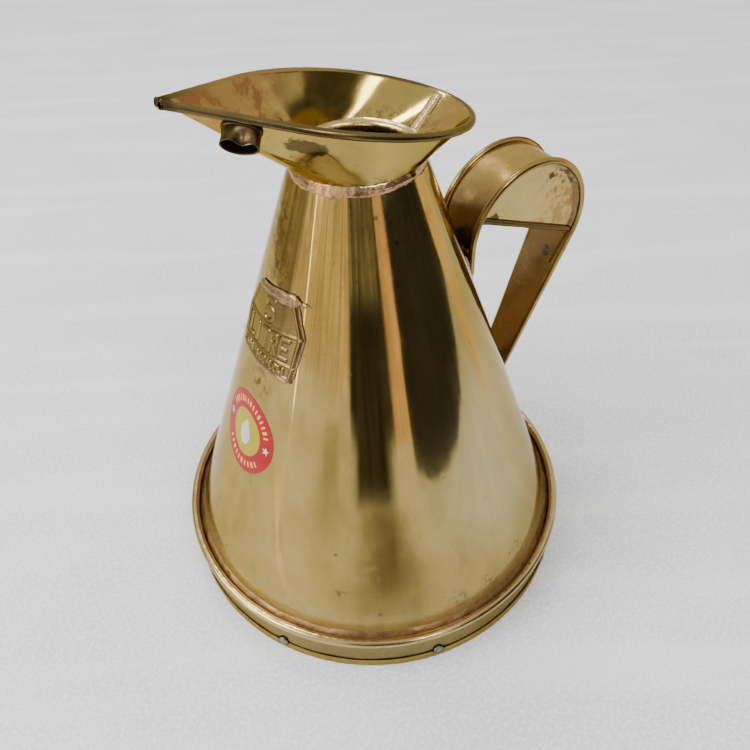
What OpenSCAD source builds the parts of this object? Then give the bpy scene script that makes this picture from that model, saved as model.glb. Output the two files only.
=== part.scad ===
// Five-litre conical pouring measure in soldered sheet brass.
// A tall cone stands in a stiffening base ring and opens at its neck into a
// tilted teardrop mouth. A strap handle with a boxed-in grip is opposite the lip.
// Origin: centre of the base, on the surface that the measure stands on.
// +Z is up, the lip points to -X and the handle is on the +X side.

/* [Body cone] */
// Outer radius of the cone where it leaves the base ring
foot_r = 117.6; // [112:0.1:118]
// Height of that line above the floor
foot_z = 30.2; // [29:0.1:33]
// Outer radius of the neck
neck_r = 32.6; // [28:0.1:36]
// Height of the neck
neck_z = 276.4; // [260:0.1:290]
// Thickness of the brass sheet
sheet_t = 1.2; // [0.8:0.1:1.5]

/* [Base ring] */
// Outer radius of the bead at the top of the base ring
ring_r = 127; // [126.5:0.1:129]
// Radius of the bead's round section
bead_r = 2.7; // [2:0.1:3]
// Height of the bead's centre
bead_z = 27; // [26:0.1:28]
// Outer radius of the upright band
band_r = 124.7; // [124:0.1:125]
// Height of the rolled foot hem
hem_h = 7.1; // [5:0.1:9]
// Height of the underside of the bottom disc
disc_z = 20; // [14:0.1:20]
// Number of rivets around the base ring
rivet_count = 8; // [4:1:12]
// Bearing of the first rivet, in degrees
rivet_start = 30; // [0:1:44]

/* [Mouth] */
// How far the lip reaches from the axis
lip_reach = 88.8; // [80:0.1:100]
// Half of the mouth's greatest width
mouth_half_w = 42; // [40:0.5:46]
// Distance from the axis to the back of the rim
mouth_rear = 59.2; // [56:0.1:66]
// Where the mouth is widest, measured towards the handle
mouth_x = 4; // [0:0.5:8]
// Radius of the curve that leads from the widest place to the lip
shoulder_r = 94; // [88:1:100]
// Height of the rim above the floor, on the axis
rim_z = 301; // [296:0.5:306]
// Rise of the rim towards the lip, per unit of length
rim_rise = 0.275; // [0.2:0.005:0.3]
// Radius of the wired rim
wire_r = 2; // [1.5:0.1:2.5]

/* [Overflow tube] */
// Length of the tube outside the lip
tube_len = 8; // [6:0.5:12]
// Half of the tube's greatest width
tube_half_w = 8; // [7:0.1:9]
// Half of the squashed tube's height
tube_half_h = 5.1; // [4.5:0.1:6]
// Wall of the tube
tube_wall = 1; // [0.6:0.1:1.4]

/* [Handle] */
// Distance from the axis to the centre of the arch
arch_x = 104.8; // [102:0.1:108]
// Height of the centre of the arch
arch_z = 200.6; // [194:0.1:206]
// Radius of the arch at the top of its edge beads
arch_r = 43.5; // [42:0.1:46]
// Width of the strap over the arch
strap_w = 33.8; // [30:0.1:38]
// Width of the strap where it meets the cone
strap_foot_w = 21.8; // [20:0.1:28]
// Thickness of the strap
strap_t = 1.4; // [1:0.1:1.8]
// Slope of the rear leg from the upright, in degrees
leg_slope = 22; // [20:0.5:26]
// Radius of the strap's edge beads
edge_r = 2; // [1.5:0.1:2.2]

/* [Plate and label] */
// Bearing of the plate, in degrees
plate_bearing = 182; // [175:0.5:188]
// Height of the plate's middle
plate_z = 196.8; // [190:0.1:204]
// Height of the plate along the cone
plate_h = 43.4; // [38:0.1:48]
// Bearing of the round label, in degrees
label_bearing = 180; // [175:0.5:188]
// Height of the label's middle
label_z = 130.7; // [120:0.1:140]
// Radius of the round label
label_r = 24.7; // [20:0.1:28]

/* [Hidden] */
$fn = 128;

// Cone: radius falls by taper for each unit of height.
taper = (foot_r - neck_r) / (neck_z - foot_z);
half_angle = atan(taper);
wall = sheet_t / cos(half_angle);
disc_t = 1.4;
disc_top = disc_z + disc_t;

// Base ring
band_t = 1.4;
band_in = band_r - band_t;
bead_c = ring_r - bead_r;
hem_r = band_r + 0.3;
hem_in = band_r - 3.8;
rivet_z = hem_h + 0.6;
rivet_head_r = 3.1;
rivet_head_h = 1.3;
shank_r = 1.5;

// Solder bands round the neck, outside and inside
neck_solder_h = 7;
neck_solder_t = 1.7;
inner_solder_h = 5;
inner_solder_t = 1.5;

// Mouth: each half of the rim is a quarter ellipse, an arc and a straight side.
rear_a = mouth_rear - mouth_x;
lip_angle = 121;
tip_r = 2;
tip_x = -(lip_reach - tip_r);
side_steps = 8;
funnel_rows = 4;
wire_sides = 10;
side_fan = 2;
seam_neck = 1;
seam_rim = 20;

// Overflow tube: where it stands, as parts of the way along and down the lip's flat side
tube_along = 0.25;
tube_down = 0.21;
tube_root = 0.5;
tube_dent = 2.4;
tube_flange = 1.3;

// Handle: the arch's radii, from the beads' tops inwards
edge_c = arch_r - edge_r;
strap_out = edge_c - 0.5;
strap_in = strap_out - strap_t;
edge_y = strap_w / 2 - edge_r;
edge_foot_y = strap_foot_w / 2 - edge_r;
strap_gap = 1.95;
grip_y = 12.3;
grip_t = 1.2;
floor_tilt = 24.5;
floor_lift = 2;
tab_y = -5;
tab_len = 26;
tab_w = 17;
tab_end_w = 11;
tab_face = strap_in - grip_t - 0.02;
tab_rivet = 20;
grip_rivet_r = 3.2;

// Where the handle meets the cone: the length of the leg down to it, and the two heights
leg_contact = (arch_x + edge_c * cos(leg_slope) - foot_r
    + (arch_z - edge_c * sin(leg_slope) - foot_z) * taper) / (sin(leg_slope) + cos(leg_slope) * taper);
leg_len = leg_contact + 16;
leg_joint_z = arch_z - edge_c * sin(leg_slope) - leg_contact * cos(leg_slope);
top_joint_z = foot_z + (foot_r - arch_x + strap_out) / taper;
joint_h = 13;

// Plate outline, along the cone (down) and across it, from its middle
plate_top_w = 16.2;
plate_mid_w = 24.7;
plate_low_w = 23.4;
plate_mid = -3.2;
plate_t = 1.2;
label_t = 0.3;

function cone_r(z) = foot_r - (z - foot_z) * taper;
function rim_height(x) = rim_z - rim_rise * x;
function unit(v) = v / norm(v);

// How far the leg's edge bead is from the middle, at a distance down the leg
function leg_edge_y(d) = edge_y + (edge_foot_y - edge_y) * d / leg_contact;

// A point of the rim whose outward normal has this angle, for 0 to 180 degrees
function rim_xy(a) =
    a <= 90
    ? let (n = norm([rear_a * cos(a), mouth_half_w * sin(a)]))
      [mouth_x + rear_a * rear_a * cos(a) / n, mouth_half_w * mouth_half_w * sin(a) / n]
    : a <= lip_angle
    ? [mouth_x + shoulder_r * cos(a), mouth_half_w + shoulder_r * (sin(a) - 1)]
    : [tip_x + tip_r * cos(a), tip_r * sin(a)];

// Stations of half the funnel: [rim point, normal angle, angle on the neck]
side_start = rim_xy(lip_angle);
side_end = [tip_x + tip_r * cos(lip_angle), tip_r * sin(lip_angle)];
open_stations = concat(
    [for (a = [0:6:90]) [rim_xy(a), a, a]],
    [for (a = [94:6:118]) [rim_xy(a), a, a]],
    [for (i = [0:side_steps])
        [side_start + (side_end - side_start) * i / side_steps, lip_angle,
         lip_angle + side_fan * (2 * i / side_steps - 1)]]
);
half_stations = concat(open_stations, [for (a = [130:10:180]) [rim_xy(a), a, a]]);
half_count = len(half_stations);
function mirrored(s) = [[s[0][0], -s[0][1]], -s[1], -s[2]];
stations = concat(
    half_stations,
    [for (i = [half_count - 2:-1:1]) mirrored(half_stations[i])]
);
station_count = len(stations);

// Points of one funnel skin: side is +1 for the outer face and -1 for the inner one
function rim_point(s, side) =
    let (x = s[0][0] + side * sheet_t / 2 * cos(s[1]), y = s[0][1] + side * sheet_t / 2 * sin(s[1]))
    [x, y, rim_height(x)];
function neck_point(s, r) = [r * cos(s[2]), r * sin(s[2]), neck_z];
function skin_point(s, side, r, k) =
    let (low = neck_point(s, r), top = rim_point(s, side))
    let (stop = 1 - (wire_r - 0.3) / norm(top - low))
    low + (top - low) * stop * k / funnel_rows;
function skin(side, r) =
    [for (k = [0:funnel_rows]) for (s = stations) skin_point(s, side, r, k)];
function skin_faces(base, rows, n, flip) =
    [for (k = [0:rows - 1]) for (i = [0:n - 1]) for (half = [0, 1])
        let (a = base + k * n + i, b = base + k * n + (i + 1) % n)
        let (tri = half == 0 ? [a, b, b + n] : [a, b + n, a + n])
        flip ? [tri[2], tri[1], tri[0]] : tri];

// Path of the rim wire, from one side of the lip round to the other
wire_half = concat(
    [[-lip_reach, tip_r]],
    [for (i = [len(open_stations) - 1:-1:0]) open_stations[i][0]]
);

module base_spin(points) {
    rotate_extrude() polygon(points);
}

// Everything inside the cone's outer face, for trimming what is soldered to it
module cone_solid() {
    cylinder(h = neck_z, r1 = cone_r(0), r2 = neck_r);
}

// A thin layer that lies on the cone, from a to b beyond its outer face
module cone_layer(a, b, low, high) {
    base_spin([
        [cone_r(low) + a, low], [cone_r(low) + b, low],
        [cone_r(high) + b, high], [cone_r(high) + a, high]
    ]);
}

// Local frame on the cone: +X runs down the cone, +Y around it and +Z out of it
module on_cone(z, bearing) {
    rotate([0, 0, bearing])
        translate([cone_r(z), 0, z])
            rotate([0, 90 - half_angle, 0])
                children();
}

// Frame whose X and Z axes run out from the arch's centre and up beside the leg
module at_leg() {
    translate([arch_x, 0, arch_z]) rotate([0, leg_slope, 0]) children();
}

// Revolves an outline of [radius, -y] points over the handle's arch
module over_arch(from, to) {
    translate([arch_x, 0, arch_z])
        rotate([90, 0, 0])
            rotate([0, 0, from])
                rotate_extrude(angle = to - from)
                    children();
}

module ring_rivets(shank_only) {
    for (i = [0:rivet_count - 1])
        rotate([0, 0, rivet_start + i * 360 / rivet_count])
            translate([hem_r, 0, rivet_z])
                rotate([0, 90, 0])
                    rivet_form(rivet_head_r, rivet_head_h, shank_r, 5, shank_only);
}

// A round-headed rivet along +Z, with its head above z = 0
module rivet_form(head_r, head_h, stem_r, stem_len, shank_only) {
    ball_r = (head_r * head_r + head_h * head_h) / (2 * head_h);
    translate([0, 0, -stem_len]) cylinder(h = stem_len + head_h / 2, r = stem_r, $fn = 32);
    if (!shank_only)
        intersection() {
            translate([0, 0, head_h - ball_r]) sphere(ball_r, $fn = 48);
            cylinder(h = head_h + 1, r = head_r + 1, $fn = 32);
        }
}

module cone_body() {
    color([0.78, 0.64, 0.33])
        base_spin([
            [cone_r(disc_top), disc_top], [neck_r, neck_z],
            [neck_r - wall, neck_z], [cone_r(disc_top) - wall, disc_top]
        ]);
}

// Soldered lap joint up the back of the cone, left open where the handle is joined
module cone_seam() {
    strip_w = 7;
    strip_t = 0.5;
    color([0.74, 0.58, 0.33])
        difference() {
            intersection() {
                cone_layer(0, strip_t, foot_z + 3, neck_z - neck_solder_h - 1);
                translate([0, -strip_w / 2, 0]) cube([foot_r + 5, strip_w, neck_z]);
            }
            for (z = [leg_joint_z, top_joint_z])
                translate([0, -strip_w, z - joint_h]) cube([foot_r + 5, 2 * strip_w, 2 * joint_h]);
        }
}

module bottom_disc() {
    color([0.70, 0.57, 0.30])
        translate([0, 0, disc_z]) cylinder(h = disc_t, r = band_in);
}

module base_band() {
    color([0.72, 0.62, 0.34])
        difference() {
            base_spin([
                [band_in, hem_h], [band_r - 0.5, hem_h], [band_r, hem_h + 0.5],
                [band_r, bead_z], [band_in, bead_z]
            ]);
            rotate_extrude() translate([bead_c, bead_z]) circle(bead_r);
            ring_rivets(true);
        }
}

module base_bead() {
    color([0.88, 0.76, 0.48])
        rotate_extrude() translate([bead_c, bead_z]) circle(bead_r, $fn = 48);
}

module base_hem() {
    round_r = 1.1;
    color([0.75, 0.62, 0.26])
        difference() {
            base_spin(concat(
                [for (a = [270:15:360])
                    [hem_r - round_r + round_r * cos(a), round_r + round_r * sin(a)]],
                [[hem_r, hem_h - 0.5], [hem_r - 0.5, hem_h], [hem_in, hem_h]],
                [for (a = [180:15:270])
                    [hem_in + round_r + round_r * cos(a), round_r + round_r * sin(a)]]
            ));
            ring_rivets(true);
        }
}

// Solder that fills the corner between the cone's foot and the band
module foot_solder() {
    low = [bead_c - bead_r - 0.2, bead_z - 2];
    top = [cone_r(foot_z + 1.2), foot_z + 1.2];
    bend = [cone_r(foot_z - 1.5) + 0.7, bead_z + 0.2];
    color([0.72, 0.47, 0.28])
        base_spin(concat(
            [[cone_r(disc_top), disc_top], [band_in, disc_top], [band_in, bead_z - 3.2]],
            [for (i = [0:6]) let (t = i / 6)
                low * (1 - t) * (1 - t) + bend * 2 * t * (1 - t) + top * t * t]
        ));
}

module base_rivets() {
    color([0.55, 0.54, 0.52]) ring_rivets(false);
}

module funnel_shell() {
    outer = skin(1, neck_r);
    inner = skin(-1, neck_r - sheet_t);
    n = station_count;
    m = len(outer);
    top = funnel_rows * n;
    rims = [for (i = [0:n - 1]) for (half = [0, 1])
        let (j = (i + 1) % n)
        half == 0 ? [top + i, top + j, m + top + j] : [top + i, m + top + j, m + top + i]];
    necks = [for (i = [0:n - 1]) for (half = [0, 1])
        let (j = (i + 1) % n)
        half == 0 ? [m + j, j, i] : [m + i, m + j, i]];
    faces = concat(
        skin_faces(0, funnel_rows, n, false), skin_faces(m, funnel_rows, n, true),
        rims, necks
    );
    polyhedron(concat(outer, inner), [for (f = faces) [f[2], f[1], f[0]]]);
}

// Everything inside the funnel's outer face, for trimming the overflow tube
module funnel_solid() {
    outer = skin(1, neck_r);
    n = station_count;
    top = funnel_rows * n;
    m = len(outer);
    caps = concat(
        [for (i = [0:n - 1]) [m, (i + 1) % n, i]],
        [for (i = [0:n - 1]) [m + 1, top + i, top + (i + 1) % n]]
    );
    faces = concat(skin_faces(0, funnel_rows, n, false), caps);
    points = concat(outer, [[0, 0, neck_z], [0, 0, rim_height(0)]]);
    polyhedron(points, [for (f = faces) [f[2], f[1], f[0]]]);
}

// The overflow tube stands square to the flat side of the lip
lip_a = [side_end[0], -side_end[1], rim_height(side_end[0])];
lip_b = [side_start[0], -side_start[1], rim_height(side_start[0])];
lip_c = [neck_r * cos(lip_angle), -neck_r * sin(lip_angle), neck_z];
tube_at = lip_a + (lip_b - lip_a) * tube_along + (lip_c - lip_a) * tube_down;
tube_dir = unit(cross(lip_c - lip_a, lip_b - lip_a));

module at_tube() {
    translate(tube_at)
        rotate([0, 0, atan2(tube_dir[1], tube_dir[0])])
            rotate([0, acos(tube_dir[2]), 0])
                children();
}

// Squashed round outline with a dent in its upper side, which is towards -X
function tube_outline(inset) = [for (a = [0:9:351])
    let (dent = tube_dent * exp(-pow((a - 180) / 24, 2)))
    [(tube_half_h - inset) * cos(a) + dent, (tube_half_w - inset) * sin(a)]];

module tube_form(inset, low, high) {
    at_tube() translate([0, 0, low]) linear_extrude(high - low) polygon(tube_outline(inset));
}

module funnel() {
    color([0.72, 0.60, 0.31])
        difference() {
            funnel_shell();
            tube_form(tube_wall, -6, 6);
        }
}

module rim_wire() {
    path2 = concat(
        [for (p = wire_half) p],
        [for (i = [len(wire_half) - 2:-1:0]) [wire_half[i][0], -wire_half[i][1]]]
    );
    path = [for (p = path2) [p[0], p[1], rim_height(p[0])]];
    n = len(path);
    up = unit([rim_rise, 0, 1]);
    rings = [for (i = [0:n - 1])
        let (dir = unit(path[min(i + 1, n - 1)] - path[max(i - 1, 0)]))
        let (side = cross(dir, up))
        for (j = [0:wire_sides - 1])
            path[i] + wire_r * (side * cos(j * 360 / wire_sides) + up * sin(j * 360 / wire_sides))];
    last = (n - 1) * wire_sides;
    ends = [
        [for (j = [0:wire_sides - 1]) j],
        [for (j = [wire_sides - 1:-1:0]) last + j]
    ];
    color([0.66, 0.54, 0.28])
        polyhedron(rings, concat(skin_faces(0, n - 1, wire_sides, true), ends));
}

// Solder strip on the funnel's inner face, over its lap joint
module funnel_seam() {
    strip_w = 6;
    strip_t = 0.8;
    low = [(neck_r - sheet_t) * cos(seam_neck), (neck_r - sheet_t) * sin(seam_neck), neck_z];
    top = rim_point([rim_xy(seam_rim), seam_rim, seam_neck], -1);
    mean = (seam_neck + seam_rim) / 2;
    across = [-sin(mean), cos(mean), 0] * strip_w / 2;
    rise = unit(cross(top - low, across)) * strip_t;
    lift = unit(cross(top - low, across)) * 0.25;
    a = low + (top - low) * 0.1;
    b = low + (top - low) * 0.88;
    color([0.80, 0.68, 0.52])
        polyhedron(
            [for (p = [a, b]) for (q = [across, -across]) for (h = [lift, lift + rise]) p + q + h],
            [[0, 1, 3, 2], [4, 6, 7, 5], [0, 4, 5, 1], [2, 3, 7, 6], [0, 2, 6, 4], [1, 5, 7, 3]]
        );
}

module neck_solder() {
    color([0.84, 0.67, 0.52])
        base_spin([
            [cone_r(neck_z - neck_solder_h), neck_z - neck_solder_h],
            [cone_r(neck_z - 5) + 0.65 * neck_solder_t, neck_z - 5],
            [neck_r + neck_solder_t, neck_z], [neck_r, neck_z]
        ]);
}

module neck_inner_solder() {
    low = neck_z - inner_solder_h;
    inner = neck_r - sheet_t - inner_solder_t;
    color([0.85, 0.78, 0.62])
        base_spin([
            [cone_r(low) - wall, low], [inner, low + 2], [inner, neck_z - 0.4],
            [neck_r - sheet_t - 0.3, neck_z + 0.8], [neck_r - wall, neck_z]
        ]);
}

module overflow_tube() {
    color([0.36, 0.27, 0.17])
        difference() {
            tube_form(0, -tube_root, tube_len);
            tube_form(tube_wall, -8, tube_len + 1);
            funnel_solid();
        }
}

module overflow_solder() {
    color([0.45, 0.36, 0.24])
        difference() {
            tube_form(-tube_flange, -tube_root, 1.2);
            tube_form(0, -8, 3);
            funnel_solid();
        }
}

module plate_prism(points) {
    on_cone(plate_z, plate_bearing) translate([0, 0, -10]) linear_extrude(30) polygon(points);
}

// Plate outline from its middle: down the cone first, then across
plate_half = [
    [-plate_h / 2, plate_top_w], [plate_mid, plate_mid_w], [plate_h / 2, plate_low_w]
];
plate_outline = concat(plate_half, [for (i = [2:-1:0]) [plate_half[i][0], -plate_half[i][1]]]);

module capacity_plate() {
    color([0.74, 0.62, 0.33])
        intersection() {
            cone_layer(0, plate_t, plate_z - plate_h, plate_z + plate_h);
            plate_prism(plate_outline);
        }
}

// One bead of solder along an edge of the plate, reach away from the edge
module plate_bead(edge, reach, half_w) {
    end = half_w - 3;
    plate_prism([[edge + reach, end], [edge, half_w], [edge, -half_w], [edge + reach, -end]]);
}

module plate_solder() {
    bead_w = 4;
    color([0.83, 0.68, 0.58])
        intersection() {
            cone_layer(0, plate_t + 0.4, plate_z - plate_h, plate_z + plate_h);
            union() {
                plate_bead(-plate_h / 2, -bead_w, plate_top_w + 2);
                plate_bead(plate_h / 2, bead_w, plate_low_w);
            }
        }
}

module round_label() {
    color([0.82, 0.20, 0.25])
        intersection() {
            cone_layer(0, label_t, label_z - 2 * label_r, label_z + 2 * label_r);
            on_cone(label_z, label_bearing) translate([0, 0, -15]) cylinder(h = 30, r = label_r);
        }
}

module handle_strap() {
    inner_y = edge_y - 0.9;
    outer_y = edge_y - strap_gap - 0.25;
    color([0.72, 0.57, 0.28])
        difference() {
            union() {
                over_arch(-leg_slope, 180)
                    polygon([
                        [strap_in, -inner_y], [strap_out, -outer_y],
                        [strap_out, outer_y], [strap_in, inner_y]
                    ]);
                translate([arch_x - strap_out, -outer_y, arch_z - 40])
                    cube([strap_t, 2 * outer_y, 40]);
                at_leg()
                    translate([strap_in, 0, 0])
                        rotate([0, 90, 0])
                            linear_extrude(strap_t)
                                polygon([
                                    [0, outer_y], [leg_len, leg_edge_y(leg_len) - strap_gap],
                                    [leg_len, -leg_edge_y(leg_len) + strap_gap], [0, -outer_y]
                                ]);
            }
            cone_solid();
            tab_rivet_form(true);
        }
}

module handle_edge(side) {
    lean = atan((edge_y - edge_foot_y) / leg_contact);
    difference() {
        union() {
            over_arch(-leg_slope, 180)
                translate([edge_c, -side * edge_y]) circle(edge_r, $fn = 32);
            translate([arch_x - edge_c, side * edge_y, arch_z - 40])
                cylinder(h = 40, r = edge_r, $fn = 32);
            at_leg() translate([edge_c, side * edge_y, 0]) {
                sphere(edge_r, $fn = 32);
                rotate([180 - side * lean, 0, 0]) cylinder(h = leg_len, r = edge_r, $fn = 32);
            }
        }
        cone_solid();
    }
}

module handle_edge_near() {
    color([0.76, 0.62, 0.32]) handle_edge(-1);
}

module handle_edge_far() {
    color([0.76, 0.62, 0.32]) handle_edge(1);
}

// Frame of the grip's flat floor: its upper face is z = 0 and the arch is above it
module at_floor() {
    translate([arch_x, 0, arch_z]) rotate([0, floor_tilt, 0]) translate([0, 0, floor_lift])
        children();
}

module grip_side(low_y) {
    difference() {
        translate([arch_x, low_y + grip_t, arch_z])
            rotate([90, 0, 0]) cylinder(h = grip_t, r = strap_in);
        at_floor() translate([-60, -30, -80]) cube([120, 60, 80]);
    }
}

module grip_side_near() {
    color([0.80, 0.69, 0.42]) grip_side(-grip_y - grip_t);
}

module grip_side_far() {
    color([0.80, 0.69, 0.42]) grip_side(grip_y);
}

module tab_rivet_form(shank_only) {
    at_leg()
        translate([tab_face, tab_y, -tab_rivet])
            rotate([0, -90, 0]) {
                rivet_form(grip_rivet_r, 1, 1.6, strap_t + grip_t + 0.4, shank_only);
            }
}

module grip_floor() {
    color([0.48, 0.37, 0.20])
        difference() {
            union() {
                intersection() {
                    at_floor() translate([-60, -grip_y, -grip_t]) cube([120, 2 * grip_y, grip_t]);
                    translate([arch_x, 50, arch_z])
                        rotate([90, 0, 0]) cylinder(h = 100, r = strap_in);
                }
                at_leg()
                    translate([tab_face, 0, 0])
                        rotate([0, 90, 0])
                            linear_extrude(grip_t)
                                polygon([
                                    [0, tab_y + tab_w / 2], [tab_len, tab_y + tab_end_w / 2],
                                    [tab_len, tab_y - tab_end_w / 2], [0, tab_y - tab_w / 2]
                                ]);
            }
            tab_rivet_form(true);
        }
}

module grip_rivet() {
    color([0.35, 0.27, 0.20]) tab_rivet_form(false);
}

// Solder fillets round the outside of both side plates, under the strap's edges
module grip_solder() {
    start = floor_lift / strap_in;
    from = 90 - floor_tilt - acos(start) + 1;
    to = 90 - floor_tilt + acos(start) - 1;
    y = grip_y + grip_t;
    color([0.78, 0.60, 0.44])
        for (side = [-1, 1])
            over_arch(from, to)
                polygon([
                    [strap_in, -side * y], [strap_in - 2.4, -side * y],
                    [strap_in, -side * (y + 0.9)]
                ]);
}

// Fillet in the wedge above the strap's upper end
module handle_top_solder() {
    x = arch_x - strap_out;
    w = strap_w - 4 * edge_r - 0.6;
    fillet_h = 9;
    fillet_w = 2.4;
    color([0.62, 0.45, 0.28])
        difference() {
            translate([0, w / 2, top_joint_z])
                rotate([90, 0, 0])
                    linear_extrude(w)
                        polygon([[x, -6], [x, fillet_h], [x - fillet_w, fillet_h - 1]]);
            cone_solid();
        }
}

// Fillet in the wedge above the leg's lower end
module handle_bottom_solder() {
    w = strap_foot_w - 4 * edge_r;
    color([0.58, 0.36, 0.20])
        difference() {
            at_leg()
                translate([strap_in, w / 2, -leg_contact])
                    rotate([90, 0, 0])
                        linear_extrude(w)
                            polygon([[0, 8], [0, -8], [-7, -6], [-2.5, 6]]);
            cone_solid();
        }
}

cone_body();
cone_seam();
bottom_disc();
base_band();
base_bead();
base_hem();
foot_solder();
base_rivets();
funnel();
rim_wire();
funnel_seam();
neck_solder();
neck_inner_solder();
overflow_tube();
overflow_solder();
capacity_plate();
plate_solder();
round_label();
handle_strap();
handle_edge_near();
handle_edge_far();
grip_side_near();
grip_side_far();
grip_floor();
grip_rivet();
grip_solder();
handle_top_solder();
handle_bottom_solder();
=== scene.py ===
"""Looks for the conical brass liquid measure: detailed pieces, materials, light and camera.

Lengths are millimetres until a mesh is made, except in the studio at the end, which is in
metres. Bearings are degrees round the cone's axis: the handle is at 0, the lip at 180.
"""

import math

import bmesh
import bpy
from mathutils import Matrix, Vector, noise


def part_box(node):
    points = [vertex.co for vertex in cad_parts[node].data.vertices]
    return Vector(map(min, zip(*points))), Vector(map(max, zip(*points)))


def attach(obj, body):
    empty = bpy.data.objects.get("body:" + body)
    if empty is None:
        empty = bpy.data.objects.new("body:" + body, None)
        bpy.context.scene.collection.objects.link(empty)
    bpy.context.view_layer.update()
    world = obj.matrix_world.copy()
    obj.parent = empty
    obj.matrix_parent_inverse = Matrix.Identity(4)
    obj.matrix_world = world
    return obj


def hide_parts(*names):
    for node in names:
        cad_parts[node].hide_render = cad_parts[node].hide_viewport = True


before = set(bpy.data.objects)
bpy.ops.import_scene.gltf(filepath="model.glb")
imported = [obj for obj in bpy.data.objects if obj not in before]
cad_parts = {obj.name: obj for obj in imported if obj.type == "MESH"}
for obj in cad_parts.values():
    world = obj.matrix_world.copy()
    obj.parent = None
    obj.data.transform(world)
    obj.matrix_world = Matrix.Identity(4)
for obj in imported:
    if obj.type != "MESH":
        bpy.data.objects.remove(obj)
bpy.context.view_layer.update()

MM = 0.001


def low(node):
    """The node's lowest corner in millimetres."""
    return Vector(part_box(node)[0]) / MM


def high(node):
    """The node's highest corner in millimetres."""
    return Vector(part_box(node)[1]) / MM


# Body cone
TAPER = 0.34525
HALF_ANGLE = math.atan(TAPER)
SHEET = 1.2
CONE_LOW = low("cone_body").z
NECK_Z = high("cone_body").z
CONE_FOOT_R = high("cone_body").x

# Base ring
BEAD_R = (high("base_bead").z - low("base_bead").z) / 2
BEAD_Z = (high("base_bead").z + low("base_bead").z) / 2
BEAD_C = high("base_bead").x - BEAD_R
BAND_R = high("base_band").x
HEM_H = high("base_hem").z
RIVETS = 8
RIVET_START = 30
RIVET_Z = (high("base_rivets").z + low("base_rivets").z) / 2
RIVET_HEAD_R = 3.1

# Mouth
WIRE_R = 2.0
NECK_R = high("neck_solder").x - 2.83
MOUTH_X = 4.0
SHOULDER_R = 94.0
LIP_ANGLE = 121
LAP_RIM = -91
LAP_NECK = -62
STRIP_RIM = 20
STRIP_NECK = 1
TIP_R = 2.0
RIM_RISE = 0.275
RIM_Z = 301.0
MOUTH_HALF_W = high("rim_wire").y - WIRE_R
MOUTH_REAR = 59.2
LIP_REACH = 88.8

# Overflow tube
TUBE_ALONG = 0.25
TUBE_DOWN = 0.21
TUBE_LEN = 8.0
TUBE_HALF_W = 8.0
TUBE_HALF_H = 5.1
TUBE_WALL = 0.6

# Handle
ARCH_R = 43.5
EDGE_R = 2.0
EDGE_C = ARCH_R - EDGE_R
ARCH_X = high("handle_edge_near").x - ARCH_R
ARCH_Z = high("handle_edge_near").z - ARCH_R
STRAP_OUT = EDGE_C - 0.5
STRAP_IN = STRAP_OUT - 1.4
ARCH = Vector((ARCH_X, 0, ARCH_Z))
EDGE_Y = high("handle_edge_far").y - EDGE_R
EDGE_FOOT_Y = 8.9
FLOOR_THICK = 1.2
TAB_LEN = 26
TAB_HALF_W = (8.7, 5.6)
LEG_SLOPE = math.radians(22)
FLOOR_TILT = math.radians(24.5)
FLOOR_LIFT = 2.0
GRIP_Y = high("grip_side_far").y
TAB_Y = (high("grip_rivet").y + low("grip_rivet").y) / 2
TAB_RIVET = 20.0

# Plate and label
PLATE_BEARING = 182
PLATE_Z = 196.8
PLATE_H = 43.4
PLATE_TOP = -PLATE_H / 2
PLATE_HALF_W = (16.2, 24.7, 23.4)
PLATE_MID = -3.2
PLATE_LOW_LINE = 13.3
PLATE_SKEW = 0.13
LABEL_BEARING = 180
LABEL_Z = 129.2
LABEL_R = high("round_label").y + 0.5
LABEL_CENTRE_R = 14.5

# Brown of tarnished brass
TARNISH = (0.14, 0.08, 0.035)

# Fine marks on the cone: tint, share, lattice, radius, and grain and level of the clusters
BODY_SPECKS = (
    ((0.11, 0.06, 0.028), 0.75, 17, 0.085, 45, 0.44),
    ((0.17, 0.10, 0.045), 0.55, 6.5, 0.11, 28, 0.50),
)

# Brown marks on the cone: bearing, height, size and grain
BODY_STAINS = (
    (160, 238, 32, 7),
    (178, 229, 18, 5),
    (168, 252, 18, 5),
    (150, 262, 20, 5),
    (183, 166, 17, 5),
    (264, 38, 9, 2.5),
    (275, 38, 10, 2.5),
    (290, 44, 9, 2.5),
    (227, 56, 6, 2),
)


def cone_r(z):
    """Outer radius of the cone at a height."""
    return CONE_FOOT_R - (z - CONE_LOW) * TAPER


def polar(r, bearing, z):
    """A point from its radius, its bearing in degrees and its height."""
    a = math.radians(bearing)
    return Vector((r * math.cos(a), r * math.sin(a), z))


def lump(p, size, depth=2):
    """Smooth noise from about -1 to 1, whose lumps have this size."""
    return noise.fractal(p / size, 1.0, 2.0, depth)


def smoothstep(x):
    x = min(max(x, 0.0), 1.0)
    return x * x * (3 - 2 * x)


def ease(x, a, b):
    return smoothstep((x - a) / (b - a))


def bell(x, width):
    return math.exp(-((x / width) ** 2))


def evenly(first, last, steps):
    """Steps + 1 evenly spaced numbers."""
    return [first + (last - first) * i / steps for i in range(steps + 1)]


# ---------------------------------------------------------------- meshes


def mesh_object(name, points, faces, sharp=38, grime_and_shade=None):
    """A smooth-shaded object from points in millimetres, with its faces turned outwards.
    The last argument gives the dirt and painted shade at each point, from 0 to 1."""
    mesh = bpy.data.meshes.new(name)
    mesh.from_pydata([p * MM for p in points], [], faces)
    if grime_and_shade:
        mesh.attributes.new("grime_and_shade", "FLOAT", "POINT").data.foreach_set("value", grime_and_shade)
    form = bmesh.new()
    form.from_mesh(mesh)
    bmesh.ops.recalc_face_normals(form, faces=form.faces)
    form.to_mesh(mesh)
    form.free()
    mesh.shade_smooth()
    mesh.set_sharp_from_angle(angle=math.radians(sharp))
    piece = bpy.data.objects.new(name, mesh)
    bpy.context.collection.objects.link(piece)
    return piece


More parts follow.
